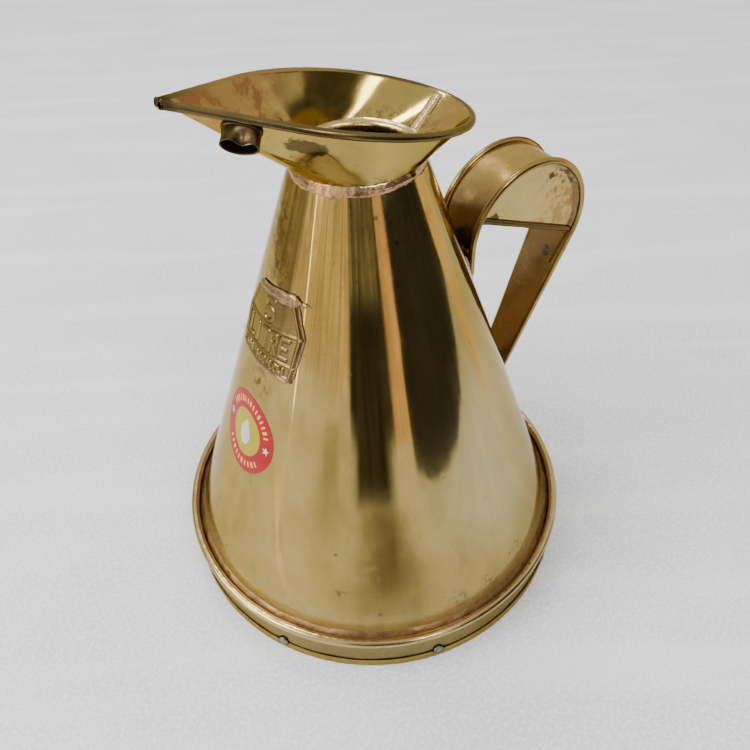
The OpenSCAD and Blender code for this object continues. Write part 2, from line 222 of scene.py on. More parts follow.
def loft_parts(rings, loop, start=0):
    """Points and faces of a skin over closed rings, joined in a loop or capped at both ends."""
    n = len(rings[0])
    points = [p for ring in rings for p in ring]
    faces = []
    for i in range(len(rings) if loop else len(rings) - 1):
        a = start + i * n
        b = start + (i + 1) % len(rings) * n
        for j in range(n):
            k = (j + 1) % n
            faces.append((a + j, a + k, b + k, b + j))
    if not loop:
        for ring, first in ((rings[0], start), (rings[-1], start + (len(rings) - 1) * n)):
            centre = start + len(points)
            points.append(sum(ring, Vector()) / n)
            faces += [(first + j, first + (j + 1) % n, centre) for j in range(n)]
    return points, faces


def loft_many(name, groups, loop=False, sharp=38):
    """One object from several separate lofts."""
    points, faces = [], []
    for rings in groups:
        p, f = loft_parts(rings, loop, len(points))
        points += p
        faces += f
    return mesh_object(name, points, faces, sharp)


def loft(name, rings, loop=False, sharp=38):
    return loft_many(name, [rings], loop, sharp)


def revolve(name, profile, steps, push, sharp=38):
    """Turns a closed outline of (radius, height) points round the axis; push says how far each
    point p, the k-th of the outline at its bearing, goes out and up."""
    rings = []
    for bearing in evenly(0, 360, steps)[:-1]:
        ring = []
        for k, (r, z) in enumerate(profile):
            out, up = push(k, polar(r, bearing, z), bearing)
            ring.append(polar(r + out, bearing, z + up))
        rings.append(ring)
    return loft(name, rings, True, sharp)


def rolled_section(radius, lap_at, step, count=28):
    """Round section of a rolled edge: (a, b) points, with the sheet's raw edge as a small step."""
    points = []
    for k in range(count + 1):
        r = radius - step * (1 - smoothstep(k / count / 0.35))
        angle = math.radians(lap_at + 360 * k / count)
        points.append((r * math.cos(angle), r * math.sin(angle)))
    return points


def turns(count):
    """The cosine and sine of each of this many even turns of a circle."""
    angles = [2 * math.pi * j / count for j in range(count)]
    return [(math.cos(a), math.sin(a)) for a in angles]


def dress(piece, material, slot, *nodes):
    """Gives the piece its material and its body, and hides the CAD nodes that it stands for."""
    piece.data.materials.append(MATERIALS[material])
    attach(piece, "root")
    if nodes:
        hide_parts(*nodes)


# ---------------------------------------------------------------- materials


class Paint:
    """A procedural material on the Principled shader, built from noise in the object's own space."""

    def __init__(self, name, metallic=1.0, roughness=0.3):
        self.name = name
        self.material = bpy.data.materials.new(name)
        self.material.use_nodes = True
        self.tree = self.material.node_tree
        self.shader = self.tree.nodes["Principled BSDF"]
        self.set("Metallic", metallic)
        self.set("Roughness", roughness)
        self.place = self.node("ShaderNodeTexCoord").outputs["Object"]

    def feed(self, socket, value):
        if hasattr(value, "is_linked"):
            self.tree.links.new(value, socket)
        else:
            socket.default_value = value

    def node(self, kind, feeds=None, **settings):
        """A node with these settings, and these numbers or links in its sockets."""
        made = self.tree.nodes.new(kind)
        for key, value in settings.items():
            setattr(made, key, value)
        for key, value in (feeds or {}).items():
            self.feed(made.inputs[key], value)
        return made

    def set(self, name, value):
        """Sets or links one of the shader's own sockets."""
        self.feed(self.shader.inputs[name], value)

    def now(self, name):
        """What is linked to one of the shader's own sockets."""
        return self.shader.inputs[name].links[0].from_socket

    def stretched(self, scale, turn=(0, 0, 0)):
        """The object's space turned, then scaled along each axis."""
        feeds = {
            "Vector": self.place,
            "Scale": [1 / part for part in scale],
            "Rotation": [math.radians(t) for t in turn],
        }
        return self.node("ShaderNodeMapping", feeds, vector_type="TEXTURE").outputs["Vector"]

    def noise(self, size_mm, detail=3.0, rough=0.55, place=None):
        feeds = {
            "Vector": place or self.place,
            "Scale": 1000.0 / size_mm,
            "Detail": detail,
            "Roughness": rough,
        }
        return self.node("ShaderNodeTexNoise", feeds).outputs["Fac"]

    def spots(self, size_mm, radius):
        """1 in small round spots on a random lattice of this size, else 0."""
        cells = self.node("ShaderNodeTexVoronoi", {"Vector": self.place, "Scale": 1000.0 / size_mm})
        return self.step(cells.outputs["Distance"], radius, radius * 0.45)

    def step(self, value, at_zero, at_one):
        """0 where value is at_zero and 1 where it is at_one, smooth between."""
        rising = at_zero < at_one
        feeds = {
            "Value": value,
            "From Min": min(at_zero, at_one),
            "From Max": max(at_zero, at_one),
            "To Min": 0.0 if rising else 1.0,
            "To Max": 1.0 if rising else 0.0,
        }
        return self.node("ShaderNodeMapRange", feeds, interpolation_type="SMOOTHSTEP").outputs["Result"]

    def span(self, value, to_low, to_high):
        """Noise near 0.5 spread over a wider range."""
        feeds = {"Value": value, "From Min": 0.3, "From Max": 0.7, "To Min": to_low, "To Max": to_high}
        return self.node("ShaderNodeMapRange", feeds).outputs["Result"]

    def patches(self, size_mm, at_zero, at_one, detail=5, rough=0.7, place=None):
        """Noise of this grain cut to soft patches: 0 at one level and 1 at the other."""
        return self.step(self.noise(size_mm, detail, rough, place), at_zero, at_one)

    def math(self, operation, a, b=0.0):
        return self.node("ShaderNodeMath", {0: a, 1: b}, operation=operation).outputs["Value"]

    def add(self, a, b):
        return self.math("ADD", a, b)

    def times(self, first, *others):
        for other in others:
            first = self.math("MULTIPLY", first, other)
        return first

    def mix(self, share, a, b):
        a, b = ((*value, 1.0) if isinstance(value, tuple) else value for value in (a, b))
        return self.node("ShaderNodeMix", {"Factor": share, 6: a, 7: b}, data_type="RGBA").outputs[2]

    def over(self, tint, share, *masks):
        """Lays a tint over the colour: this share of it where every mask is 1."""
        cover = self.times(*masks, share)
        self.set("Base Color", self.mix(cover, self.now("Base Color"), tint))

    def axis(self, name):
        """The object's own X, Y or Z, in metres."""
        return self.node("ShaderNodeSeparateXYZ", {"Vector": self.place}).outputs[name]

    def level(self, at_zero, at_one):
        """0 at one height above the floor and 1 at the other, both in metres."""
        return self.step(self.axis("Z"), at_zero, at_one)

    def near(self, centre_mm, inner_mm, outer_mm):
        """1 within inner_mm of a point, falling to 0 at outer_mm."""
        feeds = {0: self.place, 1: [c * MM for c in centre_mm]}
        far = self.node("ShaderNodeVectorMath", feeds, operation="DISTANCE").outputs["Value"]
        return self.step(far, outer_mm * MM, inner_mm * MM)

    def stain(self, centre_mm, size_mm, grain_mm):
        """A frayed patch round a point: 1 inside, 0 outside."""
        close = self.near(centre_mm, 0, size_mm)
        return self.step(self.add(close, self.times(self.noise(grain_mm, 5, 0.7), 1.4)), 1.02, 1.20)

    def cloud(self, centre_mm, size_mm, grain_mm):
        """Soft, broken staining round a point."""
        return self.times(self.near(centre_mm, 0, size_mm), self.patches(grain_mm, 0.44, 0.60))

    def bump(self, height, depth_mm, strength=1.0, under=None):
        feeds = {"Strength": strength, "Distance": depth_mm * MM, "Height": height}
        if under is not None:
            feeds["Normal"] = under
        return self.node("ShaderNodeBump", feeds).outputs["Normal"]


def scratches(paint, turn, length=18.0, width=0.25):
    """Fine scratches as thin, long noise, 1 on a scratch."""
    place = paint.stretched((1 / length, 1 / width, 1 / width), turn)
    return paint.patches(1.0, 0.62, 0.74, 2.0, 0.6, place)


def brass(name, pale, deep, rough, amount):
    """Aged brass: pale and deep patches, brown tarnish in clouds and specks, fine scratches."""
    paint = Paint(name)
    paint.set("Specular Tint", (0.74, 0.64, 0.44, 1.0))
    paint.set("Base Color", paint.mix(paint.span(paint.noise(38, 4, 0.6), 0.0, 1.0), pale, deep))
    green = paint.patches(55, 0.52, 0.70, 3, 0.5, paint.stretched((1, 1, 0.45)))
    paint.over((pale[0] * 0.78, pale[1] * 0.86, pale[2] * 0.62), 0.35, green)
    film = paint.patches(9, 0.62 - 0.12 * amount, 0.78, 6)
    paint.over(TARNISH, 0.55 * amount, film)
    specks = paint.times(paint.spots(7.0, 0.16), paint.patches(26, 0.50, 0.68, 3, 0.6))
    paint.over(tuple(c * 0.45 for c in TARNISH), 0.8 * amount, specks)
    lines = paint.math("MAXIMUM", scratches(paint, (8, 12, 30)), scratches(paint, (70, -15, -50)))
    gloss = paint.add(paint.span(paint.noise(14, 5, 0.65), *rough), paint.times(film, 0.22 * amount))
    paint.set("Roughness", paint.add(gloss, paint.times(lines, 0.10)))
    under = paint.bump(paint.noise(7, 3, 0.5), 0.010)
    under = paint.bump(lines, 0.006, 0.6, under)
    paint.set("Normal", paint.bump(specks, 0.02, 0.6, under))
    return paint


def solder(name, pale, stain, dark, rough, stained=0.5):
    """Lumpy soft solder, stained by copper and spotted with burnt flux."""
    paint = Paint(name, 0.96)
    paint.set("Specular Tint", (0.86, 0.74, 0.58, 1.0))
    patch = paint.patches(8, 0.58 - 0.2 * stained, 0.66, 4, 0.6)
    paint.set("Base Color", paint.mix(paint.times(patch, 0.85), pale, stain))
    burnt = paint.patches(4.2, 0.63, 0.70, 4, 0.6)
    paint.over(dark, 0.8, burnt)
    pits = paint.spots(3.2, 0.14)
    paint.over(tuple(c * 0.4 for c in dark), 0.85, pits)
    gloss = paint.span(paint.noise(3, 4, 0.6), rough - 0.08, rough + 0.14)
    paint.set("Roughness", paint.add(gloss, paint.times(burnt, 0.25)))
    under = paint.bump(paint.noise(2.4, 4, 0.6), 0.10)
    paint.set("Normal", paint.bump(pits, 0.12, 0.7, under))
    return paint


def rivet_halo(paint):
    """1 on the base ring round each of the evenly spaced rivets, 0 away from them."""
    turn = paint.math("ARCTAN2", paint.axis("Y"), paint.axis("X"))
    turn = paint.add(paint.math("DIVIDE", turn, 2 * math.pi), 1 - RIVET_START / 360 + 0.5 / RIVETS)
    part = paint.math("FRACT", paint.times(turn, RIVETS), 0.0)
    across = paint.times(paint.math("SUBTRACT", part, 0.5), 2 * math.pi * BAND_R * MM / RIVETS)
    up = paint.math("SUBTRACT", paint.axis("Z"), RIVET_Z * MM)
    far = paint.math("SQRT", paint.add(paint.times(across, across), paint.times(up, up)))
    far = paint.add(far, paint.times(paint.noise(3, 3), 2.0 * MM))
    return paint.step(far, 6.2 * MM, 4.2 * MM)


def make_body_paint():
    body = brass("brass_body", (0.390, 0.288, 0.092), (0.320, 0.220, 0.058), (0.05, 0.11), 0.3)
    olive = body.patches(15, 0.50, 0.66, 3, 0.6, body.stretched((1, 1, 0.08)))
    body.over((0.235, 0.175, 0.045), 0.40, olive)
    body.over((0.24, 0.14, 0.06), 0.55, body.level(0.062, 0.030), body.patches(3.5, 0.54, 0.66))
    streaks = body.patches(9, 0.50, 0.64, place=body.stretched((1, 1, 0.5)))
    body.over((0.19, 0.11, 0.05), 0.45, body.level(0.215, 0.262), streaks)
    for tint, share, size, radius, grain, level in BODY_SPECKS:
        here = body.patches(grain, level, level + 0.10, 3, 0.55)
        body.over(tint, share, body.spots(size, radius), here)
    for turn in ((20, 40, 10), (-30, 15, 65), (5, 70, -20)):
        body.over((0.18, 0.11, 0.045), 0.5, scratches(body, turn, 8.0, 0.5))
    for bearing, z, size, grain in BODY_STAINS:
        body.over((0.10, 0.06, 0.026), 0.95, body.cloud(polar(cone_r(z), bearing, z), size, grain))
    # Painted reflection: a broad pale patch on the cone's right side as the camera sees it, where the brass
    # is viewed at a glancing angle.
    body.over((0.52, 0.43, 0.24), 0.6, body.near((62, -84, 112), 30, 95))
    dull = body.level(0.044, 0.030)
    body.set("Metallic", body.math("SUBTRACT", 1.0, body.times(dull, 0.45)))
    body.set("Roughness", body.add(body.now("Roughness"), body.times(dull, 0.22)))
    body.set("Coat Weight", 0.15)
    body.set("Coat Roughness", 0.12)
    return body


def make_mouth_paint():
    mouth = brass("brass_mouth", (0.42, 0.315, 0.094), (0.35, 0.245, 0.060), (0.06, 0.15), 0.5)
    lip = mouth.near((-LIP_REACH + 20, 36, RIM_Z + RIM_RISE * LIP_REACH - 8), 42, 62)
    mouth.over((0.31, 0.165, 0.050), 0.85, lip, mouth.patches(16, 0.27, 0.50, rough=0.65))
    mouth.over((0.20, 0.082, 0.03), 0.8, lip, mouth.patches(17, 0.50, 0.60, rough=0.68))
    rear = mouth.near((52, -8, 288), 6, 30)
    mouth.over((0.36, 0.20, 0.08), 0.7, rear, mouth.patches(12, 0.40, 0.58, rough=0.65))
    smear = mouth.math("MAXIMUM", mouth.stain((-44, -24, 303), 8, 4), mouth.stain((-37, -28, 300.5), 9, 4))
    smear = mouth.math("MAXIMUM", smear, mouth.stain((-41, -26, 301.5), 9, 4))
    mouth.over((0.075, 0.05, 0.025), 0.9, smear)
    mouth.over((0.06, 0.035, 0.02), 0.9, mouth.stain((10, -34, 280), 6, 2.5))
    mouth.over((0.17, 0.09, 0.04), 0.9, mouth.level(0.284, 0.2765), mouth.patches(3.5, 0.45, 0.58))
    return mouth


def make_strap_paint():
    strap = brass("brass_strap", (0.44, 0.31, 0.10), (0.34, 0.22, 0.060), (0.12, 0.27), 0.8)
    strap.over((0.26, 0.178, 0.085), 0.8, strap.level(0.215, 0.185))
    strap.over((0.30, 0.155, 0.080), 0.85, strap.level(0.165, 0.110), strap.patches(16, 0.30, 0.52, 4, 0.6))
    shade = strap.near((64, -6, 206), 16, 42)
    strap.over((0.13, 0.078, 0.035), 0.85, shade, strap.patches(15, 0.26, 0.50, 4, 0.6))
    strap.set("Metallic", 0.9)
    return strap


def make_cheek_paint():
    """Pale side plates with burnt flux near the solder at their upper rear corner."""
    cheek = brass("brass_grip", (0.50, 0.39, 0.165), (0.42, 0.31, 0.11), (0.12, 0.26), 0.6)
    cheek.over((0.15, 0.07, 0.03), 0.8, cheek.near((132, -13, 226), 6, 26), cheek.patches(4.5, 0.50, 0.60))
    cheek.over((0.28, 0.13, 0.05), 0.7, cheek.near((84, -13, 203), 4, 20), cheek.patches(5, 0.48, 0.60))
    for x, z, size in ((74, 210, 26), (142, 208, 24), (120, 192, 26)):
        cheek.over((0.24, 0.135, 0.05), 0.9, cheek.cloud((x, -14, z), size, 8))
    burns = ((128, 232, 5, 1.6), (136, 224, 4.5, 1.6), (120, 229, 4, 1.4), (78, 214, 9, 3))
    for x, z, size, grain in burns:
        cheek.over((0.05, 0.03, 0.016), 0.9, cheek.stain((x, -14, z), size, grain))
    return cheek


def make_ring_paints():
    """The base ring's band, bead and hem."""
    band = brass("brass_band", (0.25, 0.205, 0.108), (0.19, 0.15, 0.074), (0.18, 0.32), 0.7)
    band.over((0.10, 0.07, 0.045), 1.0, rivet_halo(band))
    bead = brass("brass_bright", (0.50, 0.385, 0.195), (0.39, 0.27, 0.115), (0.12, 0.24), 0.5)
    bead.over((0.10, 0.05, 0.025), 0.85, bead.spots(9, 0.13), bead.patches(30, 0.48, 0.62, 3, 0.55))
    hem = brass("brass_hem", (0.34, 0.25, 0.085), (0.26, 0.175, 0.05), (0.20, 0.34), 0.7)
    hem.over((0.12, 0.08, 0.04), 1.0, rivet_halo(hem))
    return [band, bead, hem]


def make_wire_paint():
    wire = brass("brass_wire", (0.17, 0.125, 0.056), (0.105, 0.070, 0.028), (0.16, 0.32), 0.8)
    wire.over((0.30, 0.20, 0.065), 0.8, wire.near((-30, 45, 310), 35, 70))
    tip = (-LIP_REACH - 1, 0, RIM_Z + RIM_RISE * LIP_REACH)
    wire.over((0.045, 0.03, 0.018), 0.85, wire.near(tip, 4, 10))
    return wire


def make_plate_paint():
    """Brass with the dirt and the painted shade that the plate's mesh holds at the foot of its relief."""
    plate = brass("brass_plate", (0.235, 0.17, 0.066), (0.16, 0.11, 0.038), (0.12, 0.28), 0.9)
    grime_and_shade = plate.node("ShaderNodeAttribute", attribute_name="grime_and_shade").outputs["Fac"]
    # Dirt and painted shade: darker at the foot of each raised line and along the plate's edge, read from
    # the mesh's attribute.
    plate.over((0.07, 0.045, 0.02), 0.95, grime_and_shade)
    return plate


def make_neck_paint():
    neck = solder("neck_wipe", (0.48, 0.33, 0.18), (0.35, 0.21, 0.095), (0.09, 0.05, 0.025), 0.20)
    ragged = neck.add(neck.axis("Z"), neck.times(neck.noise(4, 4), 0.003))
    neck.over((0.40, 0.225, 0.105), 0.85, neck.step(ragged, 0.2775, 0.2755))
    streaks = neck.patches(2.6, 0.56, 0.66, 4, 0.65, neck.stretched((0.35, 0.35, 1)))
    neck.over((0.15, 0.085, 0.045), 0.8, streaks)
    neck.over((0.035, 0.02, 0.012), 0.95, neck.stain((10, -33, 277.5), 5, 2))
    return neck


def make_grip_paint():
    grip = solder("grip_wipe", (0.40, 0.31, 0.16), (0.30, 0.20, 0.09), (0.08, 0.045, 0.025), 0.24)
    grip.over((0.17, 0.09, 0.04), 0.85, grip.near((141, 0, 205), 12, 44))
    grip.over((0.05, 0.028, 0.016), 0.9, grip.near((136, 0, 228), 12, 26), grip.patches(4, 0.48, 0.55))
    return grip


def make_label_paint(name, ink):
    """Gloss print, a little faded and uneven."""
    paint = Paint(name, 0.0)
    paint.set("Specular IOR Level", 0.12)
    faded = tuple(c * 0.80 + 0.02 for c in ink)
    paint.set("Base Color", paint.mix(paint.span(paint.noise(5, 4), 0.0, 0.5), ink, faded))
    paint.set("Roughness", paint.span(paint.noise(6, 4), 0.30, 0.46))
    paint.set("Normal", paint.bump(paint.noise(5, 3), 0.03))
    return paint


def make_rivet_paint(name, pale, dark, rough):
    """Dull metal of a rivet head, mottled and pitted."""
    paint = Paint(name, 0.9)
    paint.set("Base Color", paint.mix(paint.span(paint.noise(2.2, 4), 0.0, 1.0), pale, dark))
    paint.set("Roughness", paint.span(paint.noise(1.5, 3), rough, rough + 0.25))
    paint.set("Normal", paint.bump(paint.noise(1.2, 4), 0.12))
    return paint


def make_tube_shade_paint():
    # Painted shade: a near-black matte lining that darkens the inside of the overflow tube.
    painted_tube_shade = Paint("painted_tube_shade", 0.0, 0.9)
    painted_tube_shade.set("Specular IOR Level", 0.05)
    painted_tube_shade.set("Base Color", painted_tube_shade.mix(painted_tube_shade.noise(3, 3), (0.006, 0.005, 0.004), (0.002, 0.002, 0.002)))
    painted_tube_shade.set("Normal", painted_tube_shade.bump(painted_tube_shade.noise(1.5, 3), 0.1))
    return painted_tube_shade


def make_materials():
    """Every material by its name."""
    made = [make_body_paint(), make_mouth_paint(), *make_ring_paints(), make_wire_paint()]
    made += [make_plate_paint(), make_strap_paint(), make_cheek_paint(), make_neck_paint()]
    made += [make_grip_paint(), make_tube_shade_paint()]
    made += [
        brass("brass_dull", (0.40, 0.29, 0.12), (0.30, 0.20, 0.08), (0.35, 0.5), 0.8),
        brass("brass_edge", (0.36, 0.26, 0.090), (0.24, 0.16, 0.05), (0.14, 0.30), 0.7),
        brass("brass_dark", (0.155, 0.11, 0.050), (0.085, 0.058, 0.028), (0.24, 0.46), 1.0),
        solder("plate_wipe", (0.31, 0.215, 0.115), (0.22, 0.135, 0.065), (0.09, 0.05, 0.025), 0.26),
        solder("tin_solder", (0.50, 0.375, 0.18), (0.38, 0.25, 0.10), (0.11, 0.06, 0.03), 0.20),
        solder("copper_solder", (0.47, 0.325, 0.175), (0.35, 0.21, 0.10), (0.11, 0.06, 0.03), 0.32, 0.6),
        make_rivet_paint("steel_rivet", (0.25, 0.25, 0.25), (0.13, 0.12, 0.11), 0.30),
        make_rivet_paint("dark_rivet", (0.20, 0.13, 0.08), (0.07, 0.05, 0.04), 0.4),
        make_label_paint("label_red", (0.34, 0.002, 0.011)),
        make_label_paint("label_yellow", (0.37, 0.305, 0.0)),
        make_label_paint("label_gold", (0.85, 0.42, 0.03)),
        make_label_paint("label_white", (0.52, 0.52, 0.54)),
    ]
    return {paint.name: paint.material for paint in made}


MATERIALS = make_materials()

# ---------------------------------------------------------------- body cone and base ring

# Bearing, height, size and depth of each dent, and bearing, width and height of each crease
DENTS = (
    (238, 96, 11, 0.30),
    (268, 205, 9, -0.22),
    (222, 150, 14, 0.22),
    (300, 120, 12, 0.25),
    (120, 130, 16, 0.4),
    (60, 200, 12, -0.3),
)
CREASES = ((205, 1.6, 0.16), (262, 2.2, -0.10), (226, 1.8, 0.07))


def cone_ripple(bearing, z):
    """How far the hand-rolled sheet is out from a true cone: long ripples, creases and dents."""
    around = polar(1, bearing, 0)
    out = 0.20 * noise.noise(around * 5 + Vector((0, 0, z / 150)))
    out += 0.035 * noise.noise(around * 19 + Vector((3, 5, z / 90)))
    r = cone_r(z)
    for at, width, height in CREASES:
        off = math.radians(bearing - at - 1.5 * noise.noise(Vector((at, 0, z / 60)))) * r
        out += height * bell(off, width) * ease(z, 60, 130)
    for at, up, size, depth in DENTS:
        out -= depth * bell(math.hypot(math.radians(bearing - at) * r, z - up), size)
    return out


def make_cone():
    outer = [(cone_r(z), z) for z in evenly(CONE_LOW, NECK_Z, 72)]
    inner = [(r - SHEET / math.cos(HALF_ANGLE), z) for r, z in reversed(outer[::4])]

    def push(k, p, bearing):
        return (cone_ripple(bearing, p.z) * ease(p.z, CONE_LOW, CONE_LOW + 20), 0)

    piece = revolve("cone_sheet", outer + inner, 360, push)
    dress(piece, "brass_body", "brass_body", "cone_body")


def bow(first, bend, last, t):
    """A point of the curve from first to last that is drawn towards bend."""
    return first * (1 - t) ** 2 + bend * (2 * t * (1 - t)) + last * t * t


def make_foot_solder():
    top_z = high("foot_solder").z - 1.8
    edge = BEAD_C - BEAD_R + 0.1
    outline = [(cone_r(top_z - 3) - 0.8, top_z - 6), (edge - 0.8, BEAD_Z - 4.5)]
    foot = Vector((edge, BEAD_Z - 1.9))
    bend = Vector((cone_r(top_z - 3) + 1.2, BEAD_Z - 0.2))
    top = Vector((cone_r(top_z) - 0.1, top_z))
    curve = 9
    outline += [bow(foot, bend, top, t) for t in evenly(0, 1, curve)]

    def push(k, p, bearing):
        if k < 2:
            return (0, 0)
        t = (k - 2) / curve
        swell = (0.26 * lump(p, 12) + 0.10 * lump(p, 3)) * math.sin(math.pi * t)
        rise = (0.7 * lump(p + Vector((50, 0, 0)), 18) + 0.25 * lump(p, 5)) * t
        return (swell - rise * TAPER, rise + swell * 0.6)

    piece = revolve("foot_fillet", outline, 540, push, 60)
    dress(piece, "copper_solder", "copper_solder", "foot_solder")


def make_bead():
    """The rolled bead, with ragged grooves on its inner side where the sheet's edge laps."""

    def push(k, p, bearing):
        wander = 2.5 * lump(polar(20, bearing, 3.1 * k), 16)
        groove = (0.14 * math.sin(2.1 * k + wander) + 0.16 * lump(p, 2.2)) * bell(k - 5, 5)
        return (0.10 * lump(p, 22) + groove, 0.10 * lump(p, 17) + groove * 0.8)

    section = [(BEAD_C + a, BEAD_Z + b) for a, b in rolled_section(BEAD_R, 78, -0.35, 44)]
    dress(revolve("rolled_bead", section, 540, push), "brass_bright", "brass_bright", "base_bead")


def make_band():
    """The upright band, drawn in a little beside each rivet."""
    rows = 10
    top = BEAD_Z - 1.2
    bottom = HEM_H - 5.0
    outline = [(BAND_R - 0.25 * (1 - ease(i, 0, 2)), z) for i, z in enumerate(evenly(bottom, top, rows))]
    outline += [(BAND_R - 1.4, top - 1.5), (BAND_R - 1.4, bottom)]
    apart = 360 / RIVETS

    def push(k, p, bearing):
        if k > rows:
            return (0, 0)
        away = (bearing - RIVET_START + apart / 2) % apart - apart / 2
        return (0.16 * lump(p, 30) - 0.25 * bell(away, 2) * ease(p.z, 17, 10), 0)

    dress(revolve("upright_band", outline, 720, push), "brass_band", "brass_band", "base_band")


def make_hem():
    hem_r = BAND_R + 0.9
    round_r = 1.5
    outline = [(BAND_R - 3.8, 1.6), (BAND_R - 2.6, 0.0)]
    for a in evenly(1.5 * math.pi, 2 * math.pi, 6):
        outline.append((hem_r - round_r + round_r * math.cos(a), round_r + round_r * math.sin(a)))
    outline += [(hem_r, HEM_H * 0.6), (hem_r - 0.05, HEM_H - 0.4), (hem_r - 0.25, HEM_H - 0.05)]
    outline += [(hem_r - 0.62, HEM_H - 0.1), (hem_r - 0.66, HEM_H - 2.4)]
    last_wavy = len(outline) - 1
    outline += [(BAND_R - 0.6, HEM_H - 2.6), (BAND_R - 3.8, HEM_H - 1.4)]

    def push(k, p, bearing):
        if not 2 <= k <= last_wavy:
            return (0, 0)
        return (0.12 * lump(p, 24) + 0.05 * lump(p, 6), 0.28 * lump(p, 20) * ease(p.z, 3, HEM_H))

    dress(revolve("rolled_hem", outline, 720, push), "brass_hem", "brass_hem", "base_hem")


# Share of a rivet head's radius and of its height, from the middle out to the rim
RIVET_DOME = ((0.25, 0.96), (0.55, 0.90), (0.80, 0.66), (0.95, 0.34), (1.0, 0.016))


def rivet_rings(origin, out, side, head_r, head_h, shank_r, shank_len, seed):
    """Rings of a hand-set rivet: a hammered head outside and a stub behind it."""
    up = out.cross(side).normalized()
    rings = []
    for part, rise in RIVET_DOME:
        ring = []
        for c, s in turns(28):
            r = head_r * part * (1 + 0.10 * noise.noise(Vector((c * 0.9, s * 0.9, seed * 3.7))))
            dent = 0.12 * noise.noise(Vector((c * part * 2, s * part * 2, seed + 9.1)))
            ring.append(origin + out * (rise * head_h + dent) + (side * c + up * s) * r)
        rings.append(ring)
    for depth in (0.0, -shank_len):
        rings.append([origin + out * depth + (side * c + up * s) * shank_r for c, s in turns(28)])
    return rings


def make_rivets():
    groups = []
    for i in range(RIVETS):
        bearing = RIVET_START + i * 360 / RIVETS
        place = polar(BAND_R + 0.35, bearing, RIVET_Z)
        out, side = polar(1, bearing, 0), polar(1, bearing + 90, 0)
        groups.append(rivet_rings(place, out, side, RIVET_HEAD_R, 1.25, 1.5, 5, i + 1))
    dress(loft_many("ring_rivets", groups, False, 50), "steel_rivet", "steel_rivet", "base_rivets")


# ---------------------------------------------------------------- mouth


def tip_xy(angle):
    """A point of the small round at the lip, by the angle of its outward normal."""
    a = math.radians(angle)
    return (-(LIP_REACH - TIP_R) + TIP_R * math.cos(a), TIP_R * math.sin(a))


def rim_xy(angle):
    """The rim's point whose outward normal has this angle, from 0 at the back to 180 at the lip."""
    a = math.radians(angle)
    rear = MOUTH_REAR - MOUTH_X
    if angle <= 90:
        n = math.hypot(rear * math.cos(a), MOUTH_HALF_W * math.sin(a))
        return (MOUTH_X + rear * rear * math.cos(a) / n, MOUTH_HALF_W**2 * math.sin(a) / n)
    if angle <= LIP_ANGLE:
        return (MOUTH_X + SHOULDER_R * math.cos(a), MOUTH_HALF_W + SHOULDER_R * (math.sin(a) - 1))
    return tip_xy(angle)


def half_stations():
    """(rim x, rim y, normal angle, neck angle) from the back of the mouth round to the lip."""
    found = [(*rim_xy(a), a, a) for a in [*range(0, 90, 3), *evenly(90, 120, 20)]]
    start, end = Vector(rim_xy(LIP_ANGLE)), Vector(tip_xy(LIP_ANGLE))
    found += [(*start.lerp(end, t), LIP_ANGLE, LIP_ANGLE - 2 + 4 * t) for t in evenly(0, 1, 26)]
    return found + [(*tip_xy(a), a, a) for a in range(130, 181, 10)]


HALF = half_stations()
STATIONS = HALF + [(x, -y, -a, -b) for x, y, a, b in reversed(HALF[1:-1])]


def on_rim(x, y):
    return Vector((x, y, RIM_Z - RIM_RISE * x))


def funnel_point(station, side, v):
    """A point of the funnel: side is 1 on its outer face and -1 inside, v runs from neck to rim."""
    x, y, normal, neck = station
    rim = on_rim(x, y)
    wall = (rim - polar(NECK_R, neck, NECK_Z)).normalized()
    a = math.radians(normal)
    inward = Vector((-math.sin(a), math.cos(a), RIM_RISE * math.sin(a))).cross(wall).normalized()
    if inward.z < 0:
        inward = -inward
    top = rim + inward * (WIRE_R - 0.05 if side < 0 else WIRE_R - SHEET)
    foot = polar(NECK_R if side > 0 else NECK_R - SHEET, neck, NECK_Z)
    p = foot.lerp(top, v)
    wave = 0.42 * noise.noise(Vector((p.x / 26, p.y / 26, p.z / 40))) + 0.16 * noise.noise(p / 13)
    return p + polar(wave * math.sin(math.pi * v), (normal + neck) / 2, 0)


def tube_frame():
    """Place, outward direction, direction along the lip and direction up across the overflow tube."""
    lip, far = [on_rim(x, -y) for x, y in (tip_xy(LIP_ANGLE), rim_xy(LIP_ANGLE))]
    neck = polar(NECK_R, -LIP_ANGLE, NECK_Z)
    place = lip + (far - lip) * TUBE_ALONG + (neck - lip) * TUBE_DOWN
    out = (neck - lip).cross(far - lip).normalized()
    along = (far - lip).normalized()
    across = out.cross(along).normalized()
    return place, out, along, across if across.z > 0 else -across


def tube_ring(inset, depth, swell=0.0):
    """One ring of the squashed tube: the side towards the rim has a dent in it."""
    place, out, along, across = tube_frame()
    ring = []
    for a in evenly(0, 360, 56)[:-1]:
        c, s = math.cos(math.radians(a)), math.sin(math.radians(a))
        dent = 3.6 * bell((a + 180) % 360 - 186, 24) * smoothstep(depth / 6)
        out_of_round = swell - inset + 0.35 * noise.noise(Vector((c * 1.4, s * 1.4, depth / 9)))
        high_p = (TUBE_HALF_H + out_of_round) * c - dent
        ring.append(place + out * depth + across * high_p + along * ((TUBE_HALF_W + out_of_round) * s))
    return ring


